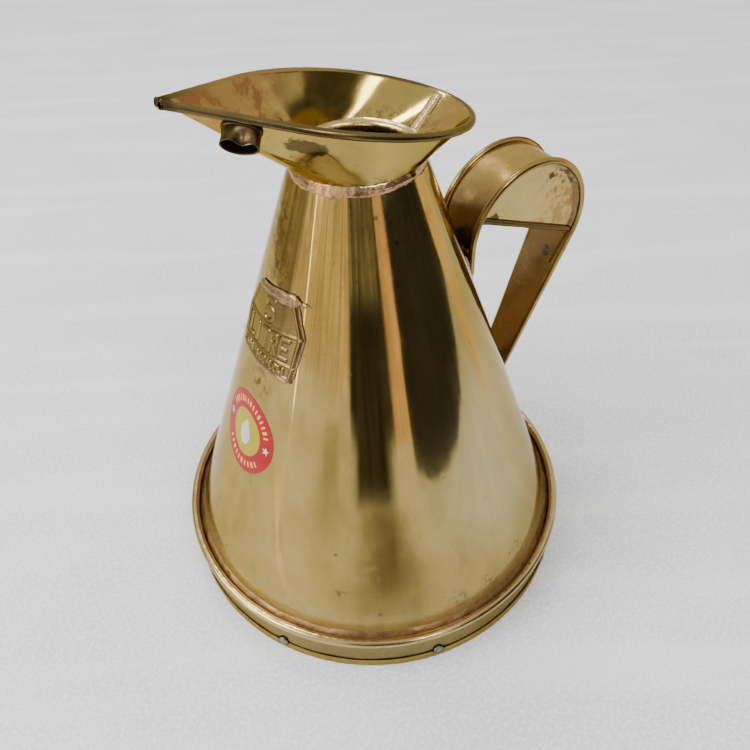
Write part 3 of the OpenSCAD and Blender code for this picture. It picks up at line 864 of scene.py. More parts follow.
def make_funnel():
    shares = evenly(0, 1, 30)
    rings = []
    for station in STATIONS:
        outer = [funnel_point(station, 1, v) for v in shares]
        inner = [funnel_point(station, -1, v) for v in reversed(shares)]
        rings.append(outer + inner)
    piece = loft("pouring_mouth", rings, True)
    bore = loft("tube_bore", [tube_ring(0.9, depth) for depth in (-6, -1, 6)])
    cut = piece.modifiers.new("bore", "BOOLEAN")
    cut.object = bore
    cut.operation = "DIFFERENCE"
    cut.solver = "EXACT"
    bpy.context.view_layer.objects.active = piece
    bpy.ops.object.modifier_apply(modifier=cut.name)
    bpy.data.objects.remove(bore)
    piece.data.shade_smooth()
    piece.data.set_sharp_from_angle(angle=math.radians(38))
    dress(piece, "brass_mouth", "brass_body", "funnel")


def make_funnel_lap():
    """The outer lap of the funnel's sheet: a thin strip with one raised edge."""
    section = ((0.0, 0.05), (0.4, 0.42), (1.2, 0.42), (10.0, 0.05), (10.0, -0.5), (0.0, -0.5))
    rings = []
    for v in evenly(0.05, 0.91, 24):
        ring = []
        for turn, lift in section:
            x, y = rim_xy(-LAP_RIM - turn)
            p = funnel_point((x, -y, LAP_RIM + turn, LAP_NECK + turn), 1, v)
            ring.append(p + polar(lift, (LAP_RIM + LAP_NECK) / 2 + turn, 0))
        rings.append(ring)
    dress(loft("mouth_lap", rings, False, 25), "brass_mouth", "brass_body")


def make_rim():
    """The wired rim; its two ends are open at the lip and show the bare wire."""
    open_half = [Vector((x, y)) for x, y, normal, neck in HALF if normal <= LIP_ANGLE]
    end = Vector((-LIP_REACH - 0.6, TIP_R))
    corners = [end, *reversed(open_half)]
    corners += [Vector((p.x, -p.y)) for p in open_half[1:] + [end]]
    path = [on_rim(*p) for p in corners]
    up = Vector((RIM_RISE, 0, 1)).normalized()
    section = rolled_section(WIRE_R, 235, 0.45, 22)
    last = len(path) - 1

    def ring_at(i, scale, back=0.0):
        ahead = (path[min(i + 1, last)] - path[max(i - 1, 0)]).normalized()
        out = up.cross(ahead).normalized()
        middle = path[i] + ahead * (back if i == 0 else -back)
        ring = []
        for a, b in section:
            arm = out * a + up * b
            q = path[i] + arm
            ring.append(middle + arm * (scale * (1 + 0.03 * lump(q, 6) + 0.02 * lump(q, 1.8))))
        return ring

    wire_end = ((0.30, 7), (0.52, 6.5), (0.60, 0.3), (0.86, 0))
    rings = [ring_at(0, scale, back) for scale, back in wire_end]
    rings += [ring_at(i, 1.0, 0.4 if i in (0, last) else 0) for i in range(last + 1)]
    rings += [ring_at(last, scale, back) for scale, back in reversed(wire_end)]
    dress(loft("wired_rim", rings, False, 45), "brass_wire", "brass_wire", "rim_wire")


def make_neck_solder():
    """Wiped solder round the neck: a thin ridged band that droops towards the lip."""
    foot = NECK_Z - 2.7
    outline = [(cone_r(foot - 4) - 0.7, foot - 4.5)]
    swells = ((0, 0.04), (0.12, 0.42), (0.26, 0.62), (0.4, 0.66), (0.55, 0.95), (0.7, 1.02), (0.85, 0.85))
    for t, swell in swells:
        z = foot + (NECK_Z - foot) * t
        outline.append((cone_r(z) + swell, z))
    neck_r = cone_r(NECK_Z)
    outline += [(neck_r + 0.95, NECK_Z + 0.4), (neck_r + 0.2, NECK_Z + 1.2), (neck_r - 0.8, NECK_Z + 0.6)]
    last = len(outline) - 1

    def push(k, p, bearing):
        if k in (0, last):
            return (0, 0)
        swell = 0.20 * lump(p, 6) + 0.16 * lump(p, 1.8)
        droop = 2.3 * bell(bearing - 205, 34) + 0.7 * lump(p + Vector((0, 0, 40)), 9)
        fall = droop * max(0.0, 1 - (k - 1) / (last - 4))
        rise = 0.6 * lump(p + Vector((30, 0, 0)), 7) if k >= last - 2 else 0
        return (swell + fall * TAPER, rise - fall)

    dress(revolve("neck_fillet", outline, 420, push, 60), "neck_wipe", "tin_solder", "neck_solder")


def make_neck_inner_solder():
    section = ((1.2, -6), (-0.6, -5.4), (-1.9, -4.0), (-2.5, -1.8), (-2.1, 0.2), (-0.6, 1.3), (0.9, 1.7))
    outline = [(NECK_R - SHEET + a, NECK_Z + b) for a, b in section]

    def push(k, p, bearing):
        if k in (0, len(outline) - 1):
            return (0, 0)
        return (0.12 * lump(p, 9) + 0.07 * lump(p, 2.4), 0.3 * lump(p + Vector((9, 0, 0)), 9))

    piece = revolve("neck_inner_fillet", outline, 300, push, 60)
    dress(piece, "tin_solder", "tin_solder", "neck_inner_solder")


def make_inner_strip():
    """Ridged solder along the funnel's lap, on the inner face."""
    station = (*rim_xy(STRIP_RIM), STRIP_RIM, STRIP_NECK)
    side = polar(1, 90 + (STRIP_RIM + STRIP_NECK) / 2, 0)
    rows = 60
    half_w = 2.8
    rings = []
    for k, v in enumerate(evenly(0.03, 0.96, rows)):
        p = funnel_point(station, -1, v)
        ahead = (funnel_point(station, -1, v + 0.02) - p).normalized()
        out = ahead.cross(side).normalized()
        if out.z < 0:
            out = -out
        end = smoothstep(min(k, rows - k) / 4)
        ridge = 0.12 * math.sin(k * 1.3) + 0.10 * lump(p, 3)
        ring = []
        for t in evenly(-1, 1, 16):
            h = (0.95 * (1 - t**4) + ridge * (1 - t * t)) * end
            edge = 0.35 * lump(p + side * (t * 30), 4)
            ring.append(p + side * (half_w * t + edge * abs(t)) + out * (h - 0.05))
        ring += [p + side * (half_w * share) - out * 0.4 for share in (0.8, -0.8)]
        rings.append(ring)
    dress(loft("mouth_seam_solder", rings, False, 60), "tin_solder", "tin_solder", "funnel_seam")


def make_overflow_tube():
    rings = [tube_ring(0.0, depth) for depth in (-0.6, 0.8, 2.5, 4.2, 6)]
    rings += [tube_ring(0.0, TUBE_LEN - 0.6, 0.1), tube_ring(0.0, TUBE_LEN - 0.1, 0.15)]
    rings += [tube_ring(TUBE_WALL * 0.5, TUBE_LEN + 0.1, 0.1)]
    rings += [tube_ring(TUBE_WALL, depth) for depth in (TUBE_LEN - 0.2, 6, 4, 2, 0.5, -0.9)]
    dress(loft("overflow_spout", rings, True, 45), "brass_dark", "brass_dark", "overflow_tube")

    # A near-black sleeve just inside the tube's wall: painted shade in its bore.
    depths = (TUBE_LEN - 0.5, 6, 4, 2, 0.5, -0.8)
    rings = [tube_ring(TUBE_WALL + 0.03, depth) for depth in depths]
    rings += [tube_ring(TUBE_WALL + 0.2, depth) for depth in reversed(depths)]
    dress(loft("overflow_painted_shade", rings, True, 45), "painted_tube_shade", "brass_dark")

    flange = []
    for inset, depth in ((0.0, -0.7), (-0.55, -0.6), (-0.5, 0.0), (-0.35, 0.4), (-0.2, 0.8), (0.2, 1.0)):
        flange.append([p + Vector((1, 1, 1)) * 0.14 * lump(p, 2.5) for p in tube_ring(inset, depth)])
    dress(loft("overflow_fillet", flange, True, 60), "brass_dark", "brass_dark", "overflow_solder")


# ---------------------------------------------------------------- plate and label


def on_cone(s, t, h, z0, bearing):
    """A point s down the cone from z0, t across it and h out of its surface."""
    z = z0 - s * math.cos(HALF_ANGLE)
    r = cone_r(z)
    turn = math.degrees(math.asin(t / r))
    out = h + cone_ripple(bearing + turn, z)
    return polar(r + out * math.cos(HALF_ANGLE), bearing + turn, z + out * math.sin(HALF_ANGLE))


def on_plate(s, t, h):
    """A point of the plate, which sits a little askew: its right side is the higher one."""
    askew = PLATE_SKEW * t * (0.75 - 1.1 * s / PLATE_H)
    return on_cone(s - askew, t, h, PLATE_Z, PLATE_BEARING)


def plate_half_width(s):
    """Half width of the plate at s down from its middle."""
    top_w, mid_w, low_w = PLATE_HALF_W
    if s < PLATE_MID:
        return top_w + (mid_w - top_w) * (s - PLATE_TOP) / (PLATE_MID - PLATE_TOP)
    return mid_w + (low_w - mid_w) * (s - PLATE_MID) / (-PLATE_TOP - PLATE_MID)


def stroke_distance(s, t, stroke):
    """Distance from a point to a straight stroke given by its two ends."""
    (s0, t0), (s1, t1) = stroke
    ds, dt = s1 - s0, t1 - t0
    along = ((s - s0) * ds + (t - t0) * dt) / (ds * ds + dt * dt)
    along = min(max(along, 0), 1)
    return math.hypot(s - s0 - along * ds, t - t0 - along * dt)


def linked(corners):
    """The strokes from each corner to the next."""
    return list(zip(corners, corners[1:]))


def bar_row(s0, s1, t0, t1, count, skip):
    """A row of short upright strokes with small feet, with gaps where skip says."""
    rows = []
    for i, t in enumerate(evenly(t0, t1, count - 1)):
        if i in skip:
            continue
        rows.append(((s0, t), (s1, t)))
        if i % 3 < 2:
            s = (s0, s1)[i % 3]
            rows.append(((s, t), (s, t + 1.4)))
    return rows


def numeral_strokes(s, t):
    """A plain figure 5, about 13 mm high."""
    belly = [math.radians(a) for a in range(-40, 226, 24)]
    curve = [(s + 2.3 - 4.0 * math.cos(a), t + 4.2 * math.sin(a)) for a in belly]
    return linked(curve) + linked([(s - 6.0, t + 3.8), (s - 6.0, t - 3.3), (s - 0.9, t - 3.5)])


# Lines of each capital: (down, across) in shares of its height and width
LETTERS = {
    "L": [[(0, 0), (1, 0), (1, 1)]],
    "I": [[(0, 0.5), (1, 0.5)]],
    "T": [[(0, 0), (0, 1)], [(0, 0.5), (1, 0.5)]],
    "R": [[(1, 0), (0, 0), (0, 0.8), (0.22, 1), (0.5, 0.8), (0.5, 0)], [(0.5, 0.4), (1, 1)]],
    "E": [[(1, 1), (1, 0), (0, 0), (0, 1)], [(0.5, 0), (0.5, 0.8)]],
}


def word_strokes(word, s, t, tall, wide, step):
    """The unit's name in plain capitals, as strokes."""
    strokes = []
    for i, letter in enumerate(word):
        for line in LETTERS[letter]:
            strokes += linked([(s + tall * a, t + step * i + wide * b) for a, b in line])
    return strokes


def plate_height(s, t, strokes):
    """Height of the pressed plate above the cone's skin, and the dirt and painted shade at the foot of its
    relief.
    """
    inset = min(plate_half_width(s) - abs(t), s - PLATE_TOP, -PLATE_TOP - s)
    # Distance from each raised line, its half width and how much dirt and painted shade it holds
    lines = [(abs(inset - 1.7), 0.8, 0.6)]
    lines += [(abs(s - at), 0.75, 0.3) for at in (PLATE_MID, PLATE_LOW_LINE)]
    lines += [(stroke_distance(s, t, stroke), 1.0, 1.0) for stroke in strokes]
    rise, dirt_and_shade = 0.0, 0.0
    for distance, width, holds_dirt_and_shade in lines:
        share = distance / width
        if distance <= 2.2:
            rise = max(rise, 0.78 * smoothstep(1.45 - share))
            dirt_and_shade = max(dirt_and_shade, holds_dirt_and_shade * bell(share - 1.35, 0.42))
    # Painted shade and dirt: darkest just past the foot of each raised line, less on top of the relief,
    # more along the plate's edge.
    dirt_and_shade *= 1 - 0.9 * smoothstep(rise / 0.4)
    edge = 1 - ease(inset, 0, 0.7)
    return 1.15 + rise - 0.25 * edge, min(dirt_and_shade + 0.5 * edge, 1.0)


def grid_faces(rows, columns, start=0):
    """Faces of a grid of points that are listed row by row."""
    wide = columns + 1
    corners = [start + i * wide + j for i in range(rows) for j in range(columns)]
    return [(a, a + 1, a + wide + 1, a + wide) for a in corners]


def make_plate():
    strokes = numeral_strokes(-11.6, -0.5)
    strokes += word_strokes("LITRE", PLATE_MID + 3.0, -17.5, 10.4, 5.0, 7.5)
    strokes += bar_row(PLATE_LOW_LINE + 2.6, PLATE_H / 2 - 3.0, -17, 17, 12, (3, 7))
    rows, columns = 130, 140
    front, behind, grime_and_shade = [], [], []
    for s in evenly(PLATE_TOP, -PLATE_TOP, rows):
        for share in evenly(-1, 1, columns):
            t = plate_half_width(s) * share
            h, dirt_and_shade = plate_height(s, t, strokes)
            front.append(on_plate(s, t, h + 0.12 * lump(Vector((s, t, 5)), 14)))
            behind.append(on_plate(s, t, -0.3))
            grime_and_shade.append(dirt_and_shade)
    wide = columns + 1
    back = len(front)
    faces = grid_faces(rows, columns) + grid_faces(rows, columns, back)
    rim = [j for j in range(columns)] + [i * wide + columns for i in range(rows)]
    rim += [rows * wide + j for j in range(columns, 0, -1)] + [i * wide for i in range(rows, 0, -1)]
    for a, b in zip(rim, rim[1:] + rim[:1]):
        faces.append((a, back + a, back + b, b))
    piece = mesh_object("pressed_plate", front + behind, faces, 60, grime_and_shade + [0.0] * back)
    dress(piece, "brass_plate", "brass_plate", "capacity_plate")


def cone_normal(p):
    flat = Vector((p.x, p.y, 0)).normalized()
    return (flat * math.cos(HALF_ANGLE) + Vector((0, 0, math.sin(HALF_ANGLE)))).normalized()


def bead_along(path, width, height, seed):
    """Rings of a lumpy bead of solder that lies on the cone along a path of points."""
    rings = []
    last = len(path) - 1
    shift = Vector((seed * 11.3, 0, 0))
    for i, p in enumerate(path):
        ahead = (path[min(i + 1, last)] - path[max(i - 1, 0)]).normalized()
        out = cone_normal(p)
        side = ahead.cross(out).normalized()
        end = 0.25 + 0.75 * smoothstep(min(i, last - i) / 5)
        w = width * end * (1 + 0.28 * lump(p + shift, 9) + 0.08 * lump(p, 2.5))
        h = height * end * (1 + 0.22 * lump(p - shift, 8) + 0.08 * lump(p, 2.2))
        rings.append([p + side * (w * c) + out * (h * s if s > 0 else 0.5 * s) for c, s in turns(14)])
    return rings


def make_plate_solder():
    """Beads along the plate's top, foot and right side, and the drip at its upper corner."""
    top = [on_plate(PLATE_TOP + 0.3, t, 0.7) for t in evenly(-16.5, 18.5, 60)]
    foot = [on_plate(-PLATE_TOP + 0.2, t, 0.4) for t in evenly(-23.0, 22.5, 70)]
    drip = [on_plate(PLATE_TOP + 0.4 + 1.2 * k, 17 + 7 * k, 0.1) for k in evenly(0, 1, 12)]
    side = [on_plate(s, plate_half_width(s) + 0.2, 0.1) for s in evenly(PLATE_TOP, -PLATE_TOP, 45)]
    groups = [bead_along(top, 3.1, 1.35, 1), bead_along(foot, 2.1, 1.25, 2)]
    groups += [bead_along(drip, 1.2, 1.0, 3), bead_along(side, 0.8, 0.8, 4)]
    dress(loft_many("plate_beads", groups, False, 60), "plate_wipe", "tin_solder", "plate_solder")


def label_layer(outline, s0, t0, shares, top=0.21, base=0.0):
    """Rings of a thin layer on the cone: the outline drawn at each of these sizes round (s0, t0)."""
    sizes = [(share, top) for share in shares] + [(share, base) for share in reversed(shares)]
    rings = []
    for share, h in sizes:
        flat = [(s0 + (s - s0) * share, t0 + (t - t0) * share) for s, t in outline]
        rings.append([on_cone(s, t, h, LABEL_Z, LABEL_BEARING) for s, t in flat])
    return rings


def star(radius, t0):
    """Outline of a five-pointed star at t0 across the label."""
    return [(-r * c, t0 + r * s) for (c, s), r in zip(turns(10), (radius, radius * 0.42) * 5)]


def make_label():
    ring = [(-LABEL_R * c, LABEL_R * s) for c, s in turns(72)]
    piece = loft("label_ring", label_layer(ring, 0, 0, evenly(1 / 12, 1, 11), 0.16, -0.3), False, 40)
    dress(piece, "label_red", "label_paper", "round_label")

    centre = [(-LABEL_CENTRE_R * c, LABEL_CENTRE_R * s) for c, s in turns(72)]
    piece = loft("label_centre", label_layer(centre, 0, 0, evenly(1 / 8, 1, 7)), False, 40)
    dress(piece, "label_yellow", "label_paper")

    mid = (LABEL_R + LABEL_CENTRE_R) / 2
    dashes = []
    for middle, count, spread in ((0, 15, 66), (180, 10, 46)):
        for i, angle in enumerate(evenly(middle - spread, middle + spread, count - 1)):
            c, s = math.cos(math.radians(angle)), math.sin(math.radians(angle))
            s0, t0 = -mid * c, mid * s
            wide = 0.95 if i % 3 == 1 else 0.6
            corners = ((-1.8, -wide), (-1.8, wide), (0, wide), (1.8, wide), (1.8, -wide), (0, -wide))
            dash = [(s0 + u * c + v * s, t0 - u * s + v * c) for u, v in corners]
            dashes.append(label_layer(dash, s0, t0, (0.4, 1.0)))
    dress(loft_many("label_dashes", dashes, False, 40), "label_gold", "label_paper")

    marks = [label_layer(star(2.9, t0), 0, t0, (0.3, 0.65, 1.0)) for t0 in (-mid, mid)]
    drop = [(-(9 if c > 0 else 8) * c, 5.2 * s * (1 - 0.55 * max(c, 0))) for c, s in turns(40)]
    marks.append(label_layer(drop, 0, 0, (0.25, 0.5, 0.75, 1.0), 0.26))
    dress(loft_many("label_marks", marks, False, 40), "label_white", "label_paper")


# ---------------------------------------------------------------- handle


def leaning(angle):
    """A unit vector in the handle's plane, this angle above straight back."""
    return Vector((math.cos(angle), 0, math.sin(angle)))


def leg_length(reach):
    """Length of the leg down to the cone, for a layer that is this far from the arch's centre."""
    gap = ARCH_X + reach * math.cos(LEG_SLOPE) - cone_r(ARCH_Z - reach * math.sin(LEG_SLOPE))
    return gap / (math.sin(LEG_SLOPE) + math.cos(LEG_SLOPE) * TAPER)


LEG_OUT = leaning(-LEG_SLOPE)
LEG_DOWN = leaning(-LEG_SLOPE - math.pi / 2)
LEG_LEN = leg_length(EDGE_C)
FLOOR_ALONG = leaning(-FLOOR_TILT)
FLOOR_UP = leaning(math.pi / 2 - FLOOR_TILT)
FLOOR_MID = ARCH + FLOOR_UP * FLOOR_LIFT
FLOOR_HALF = math.sqrt(STRAP_IN**2 - FLOOR_LIFT**2)


def joint_z(reach):
    """Height at which an upright this far ahead of the arch's centre meets the cone."""
    return CONE_LOW + (CONE_FOOT_R - ARCH_X + reach) / TAPER


def handle_path(reach):
    """Stations (base point, outward direction, distance down the leg) of the handle, for a
    layer that is this far from the arch's centre."""
    upright = evenly(joint_z(reach) - 1.5, ARCH_Z, 10)[:-1]
    found = [(Vector((ARCH_X, 0, z)), Vector((-1, 0, 0)), 0.0) for z in upright]
    found += [(ARCH, leaning(a), 0.0) for a in evenly(math.pi, -LEG_SLOPE, 72)]
    return found + [(ARCH + LEG_DOWN * d, LEG_OUT, d) for d in evenly(0, leg_length(reach) + 1.0, 44)[1:]]


def edge_y(d):
    """Half distance between the handle's edge beads, d down the leg."""
    return EDGE_Y + (EDGE_FOOT_Y - EDGE_Y) * d / LEG_LEN


def make_strap():
    rings = []
    for base, out, d in handle_path((STRAP_IN + STRAP_OUT) / 2):
        half = edge_y(d) - 0.4
        ring = []
        for side, reach in ((half, STRAP_OUT), (-half, STRAP_IN)):
            for y in evenly(-side, side, 10):
                p = base + out * reach + Vector((0, y, 0))
                ring.append(p + out * (0.22 * lump(p, 22) + 0.06 * lump(p, 6)))
        rings.append(ring)
    dress(loft("grip_strap", rings), "brass_strap", "brass_strap", "handle_strap")


def make_edges():
    section = rolled_section(EDGE_R, 118, 0.5, 20)
    for name, side in (("near", -1), ("far", 1)):
        rings = []
        for base, out, d in handle_path(EDGE_C):
            centre = base + out * EDGE_C + Vector((0, side * edge_y(d), 0))
            ring = []
            for a, b in section:
                arm = Vector((0, side * a, 0)) + out * b
                swell = 1 + 0.05 * lump(centre + arm, 6) + 0.03 * lump(centre + arm, 2)
                ring.append(centre + arm * swell)
            rings.append(ring)
        piece = loft("wired_edge_" + name, rings, False, 45)
        dress(piece, "brass_edge", "brass_wire", "handle_edge_" + name)


def make_grip_sides():
    start = math.asin(FLOOR_LIFT / STRAP_IN)
    outline = []
    for a in evenly(start, math.pi - start, 60):
        outline.append((STRAP_IN * math.cos(a), STRAP_IN * math.sin(a) - FLOOR_LIFT))
    outline += [(u, 0.0) for u in evenly(-FLOOR_HALF, FLOOR_HALF, 30)[1:-1]]
    middle = STRAP_IN * 0.42
    front, back = (0.15, 0.35, 0.55, 0.75, 0.9, 0.985, 1.0), (1.0, 0.7, 0.35, 0.15)
    for name, side in (("near", -1), ("far", 1)):
        rings = []
        for share, faces_out in [(k, True) for k in front] + [(k, False) for k in back]:
            ring = []
            for u, v in outline:
                p = FLOOR_MID + FLOOR_ALONG * (u * share) + FLOOR_UP * (middle + (v - middle) * share)
                dish = 0.45 * math.sin(math.pi * share) * lump(p, 26) - 0.5 * (1 - share**2)
                soft = 0.25 if share == 1.0 else 0.0
                y = GRIP_Y + (dish - soft if faces_out else -1.2)
                ring.append(p + Vector((0, side * y, 0)))
            rings.append(ring)
        piece = loft("grip_cheek_" + name, rings, False, 50)
        dress(piece, "brass_grip", "brass_grip", "grip_side_" + name)


def floor_stations():
    """(point, normal, half width, y) along the grip's floor and down its riveted tab."""
    bend = 4.0
    half_w = GRIP_Y - 1.0
    tab_w, end_w = TAB_HALF_W
    corner = ARCH + LEG_OUT * STRAP_IN
    flat = [FLOOR_MID + FLOOR_ALONG * u for u in evenly(-FLOOR_HALF, FLOOR_HALF - bend, 30)]
    found = [(p, FLOOR_UP, half_w, 0.0) for p in flat]
    for t in evenly(0, 1, 9)[1:-1]:
        p = bow(flat[-1], corner - FLOOR_UP * 0.2, corner + LEG_DOWN * bend, t)
        found.append((p, FLOOR_UP.lerp(LEG_OUT, t).normalized(), half_w + (tab_w - half_w) * t, TAB_Y * t))
    for d in evenly(bend, TAB_LEN, 12):
        found.append((corner + LEG_DOWN * d, LEG_OUT, tab_w + (end_w - tab_w) * d / TAB_LEN, TAB_Y))
    return found


def make_grip_floor():
    """Floor of the grip, bent down at its rear end into the riveted tab."""
    rings = []
    for p, normal, half, y0 in floor_stations():
        ring = []
        for side, lift in ((half, 0.0), (-half, -FLOOR_THICK)):
            for y in evenly(-side, side, 8):
                q = p + normal * lift + Vector((0, y0 + y, 0))
                ring.append(q + normal * (0.08 * lump(q, 9)))
        rings.append(ring)
    dress(loft("grip_base", rings, False, 40), "brass_strap", "brass_dark", "grip_floor")


def make_floor_edges():
    """Rolled edges along the two sides of the grip's floor."""
    groups = []
    for y in (-GRIP_Y - 0.3, GRIP_Y + 0.3):
        rings = []
        for u in evenly(-FLOOR_HALF + 0.4, FLOOR_HALF - 0.4, 40):
            p = FLOOR_MID + FLOOR_ALONG * u + Vector((0, y, 0))
            size = 1.9 * (1 + 0.12 * lump(p, 7))
            across = Vector((0, size * 0.8, 0))
            rings.append([p + FLOOR_UP * (size * s - 0.4) + across * c for c, s in turns(14)])
        groups.append(rings)
    dress(loft_many("grip_base_edges", groups, False, 50), "brass_dark", "brass_dark")


def make_tab_rivet():
    head = Vector((ARCH_X, TAB_Y, ARCH_Z)) + LEG_OUT * (STRAP_IN - FLOOR_THICK) + LEG_DOWN * TAB_RIVET
    rings = rivet_rings(head, -LEG_OUT, Vector((0, 1, 0)), 3.25, 1.3, 1.6, 2.4, 21)
    dress(loft("tab_rivet", rings, False, 50), "dark_rivet", "dark_rivet", "grip_rivet")


def make_grip_solder():
    """Fillets round the side plates, wider towards the rear."""
    rise = math.degrees(math.asin(FLOOR_LIFT / STRAP_IN))
    tilt = math.degrees(FLOOR_TILT)
    groups = []
    for side in (-1, 1):
        away = Vector((0, side, 0))
        rings = []
        for angle in evenly(rise - tilt + 1, 179 - rise - tilt, 110):
            out = leaning(math.radians(angle))
            p = ARCH + away * GRIP_Y + out * STRAP_IN
            rear = bell(angle - 20, 38)
            w = 1.9 + 1.8 * rear + 0.8 * lump(p, 7) + 0.4 * lump(p, 2.5)
            h = 1.4 + 0.5 * rear + 0.4 * lump(p + Vector((20, 0, 0)), 6)
            ring = [p + out * 0.3 - away * 0.4, p + out * 0.2 + away * h]
            for t in (0.25, 0.5, 0.75):
                q = p - out * (w * t)
                ring.append(q + away * (h * (1 - t) ** 2 + 0.12 * lump(q, 1.8)))
            ring += [p - out * w - away * 0.1, p - out * w * 0.6 - away * 0.5]
            rings.append(ring)
        groups.append(rings)
    dress(loft_many("grip_fillets", groups, False, 60), "grip_wipe", "tin_solder", "grip_solder")


def on_skin(y, z, sink=0.0):
    """A point of the true cone's rear side."""
    r = cone_r(z) - sink
    return Vector((math.sqrt(r * r - y * y), y, z))


def make_joint_solder():
    """Solder where the handle's two ends meet the cone."""
    z = joint_z(STRAP_OUT)
    half = EDGE_Y - 1.5
    groups = [bead_along([on_skin(y, z + 4.5, 0.4) for y in evenly(-half, half, 40)], 5.5, 2.4, 5)]
    for side in (-1, 1):
        flank = [on_skin(side * (EDGE_Y + 1.6), height) for height in evenly(z - 6, z + 18, 25)]
        groups.append(bead_along(flank, 1.6, 1.6, 6 + side))
    piece = loft_many("handle_top_joint", groups, False, 60)
    dress(piece, "copper_solder", "copper_solder", "handle_top_solder")

    z = (ARCH + LEG_OUT * STRAP_IN + LEG_DOWN * LEG_LEN).z
    half = EDGE_FOOT_Y + 1.5
    groups = []
    for lift, width, height, seed in ((3.0, 3.0, 1.9, 9), (-5.5, 2.4, 1.5, 10)):
        path = [on_skin(y, z + lift) for y in evenly(-half, half, 30)]
        groups.append(bead_along(path, width, height, seed))
    piece = loft_many("handle_foot_joint", groups, False, 60)
    dress(piece, "copper_solder", "copper_solder", "handle_bottom_solder")


# Section of the back seam: across the lap and out of the cone's skin
SEAM = (
    (-3.8, -0.4),
    (-3.6, 0.05),
    (-2.2, 0.40),
    (0, 0.55),
    (2.2, 0.42),
    (3.2, 0.38),
    (3.3, 0.0),
    (3.2, -0.4),
)


def make_cone_seam():
    """Soldered lap up the back of the cone, in three stretches between the handle's joints."""
    groups = []
    for low_z, high_z in ((33, 67), (94, 174), (200, 266)):
        rings = []
        steps = int((high_z - low_z) / 1.2)
        for i, z in enumerate(evenly(low_z, high_z, steps)):
            end = smoothstep(min(i, steps - i) / 3)
            ring = []
            for t, h in SEAM:
                p = Vector((cone_r(z), t, z))
                y = t + (0.3 * lump(p + Vector((t * 9, 0, 0)), 5) if abs(t) > 3 else 0)
                lift = (h + (0.12 * lump(p, 3) if h > 0.1 else 0)) * (end if h > 0 else 1)
                base = on_skin(y, z)
                ring.append(base + cone_normal(base) * (lift + cone_ripple(0, z)))
            rings.append(ring)
        groups.append(rings)
    dress(loft_many("back_seam", groups, False, 50), "plate_wipe", "tin_solder", "cone_seam")


def dress_disc():
    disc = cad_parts["bottom_disc"]
    disc.data.materials.clear()
    disc.data.materials.append(MATERIALS["brass_dull"])


def make_measure():
    make_cone()
    make_foot_solder()
    make_bead()
    make_band()
    make_hem()
    make_rivets()
    make_funnel()
    make_funnel_lap()
    make_rim()
    make_neck_solder()
    make_neck_inner_solder()
    make_inner_strip()
    make_overflow_tube()
    make_plate()
    make_plate_solder()
    make_label()
    make_strap()
    make_edges()
    make_grip_sides()
    make_grip_floor()
    make_floor_edges()
    make_tab_rivet()
    make_grip_solder()
    make_joint_solder()
    make_cone_seam()
    dress_disc()


# ---------------------------------------------------------------- camera, floor and light


def direction(bearing, rise):
    """A unit vector at this bearing and this angle above the floor."""
    up = math.radians(rise)
    return polar(math.cos(up), bearing, math.sin(up))


def make_camera():
    """Looks down at the measure from above its near side, with the lip to the left."""
    data = bpy.data.cameras.new("camera")
    camera = bpy.data.objects.new("camera", data)
    bpy.context.collection.objects.link(camera)
    data.sensor_width = 36
    data.lens = 36.54
    aim = Vector((0, 0, 0.1269))
    bearing, rise, distance = -121, 44.69, 0.4673
    pan, roll = math.radians(-0.50), math.radians(-2.83)
    back = direction(bearing, rise)
    camera.location = aim + back * distance
    turn = (-back).to_track_quat("-Z", "Y").to_matrix()
    turn = turn @ Matrix.Rotation(pan, 3, "Y") @ Matrix.Rotation(roll, 3, "Z")
    camera.rotation_euler = turn.to_euler()
    bpy.context.scene.camera = camera


def floor_material():
    """White packing foam: a fine sparkling grain over slow, shallow ripples, whose sheen is painted as
    long, lighter bands.
    """
    paint = Paint("packing_foam", 0.0)
    shade = paint.mix(paint.span(paint.noise(70, 4), 0, 1), (0.66, 0.705, 0.76), (0.75, 0.785, 0.82))
    paint.set("Base Color", shade)
    # Painted sheen: long lighter bands where the foam's shallow ripples would catch the light.
    ripple_sheen = paint.patches(34, 0.46, 0.66, 2, 0.4, paint.stretched((0.10, 1, 1), (0, 0, -31)))
    paint.over((0.92, 0.92, 0.92), 0.55, ripple_sheen)
    paint.over((1.0, 1.0, 1.0), 0.85, paint.patches(2.4, 0.47, 0.62, 4, 0.75))
    paint.set("Roughness", paint.span(paint.noise(8, 3), 0.42, 0.62))
    paint.set("Normal", paint.bump(paint.noise(2.2, 3, 0.7), 0.7, 0.7))
    return paint.material


def stage_mesh(name, points, faces, material):
    """An object of the studio, from points in metres."""
    mesh = bpy.data.meshes.new(name)
    mesh.from_pydata(points, [], faces)
    mesh.materials.append(material)
    made = bpy.data.objects.new(name, mesh)
    bpy.context.collection.objects.link(made)
    return made


def make_floor():
    half = 4.0
    corners = [(-half, -half, 0), (half, -half, 0), (half, half, 0), (-half, half, 0)]
    stage_mesh("floor", corners, [(0, 1, 2, 3)], floor_material())


def glowing(name, tint, strength, streak):
    """A soft-edged glow for a card; streak is how far it varies in upright stripes."""
    paint = Paint(name)
    stripes = paint.noise(24, 4, 0.65, paint.stretched((1, 1, 0.08)))
    level = paint.span(stripes, strength * (1 - streak), strength * (1 + streak))
    glow = paint.node("ShaderNodeEmission", {"Color": (*tint, 1), "Strength": paint.math("MAXIMUM", level)})
    clear = paint.node("ShaderNodeBsdfTransparent")
    fade = paint.node("ShaderNodeAttribute", attribute_name="fade").outputs["Fac"]
    both = paint.node("ShaderNodeMixShader", {0: fade, 1: clear.outputs[0], 2: glow.outputs[0]})
    paint.feed(paint.tree.nodes["Material Output"].inputs["Surface"], both.outputs[0])
    paint.tree.nodes.remove(paint.shader)
    return paint.material


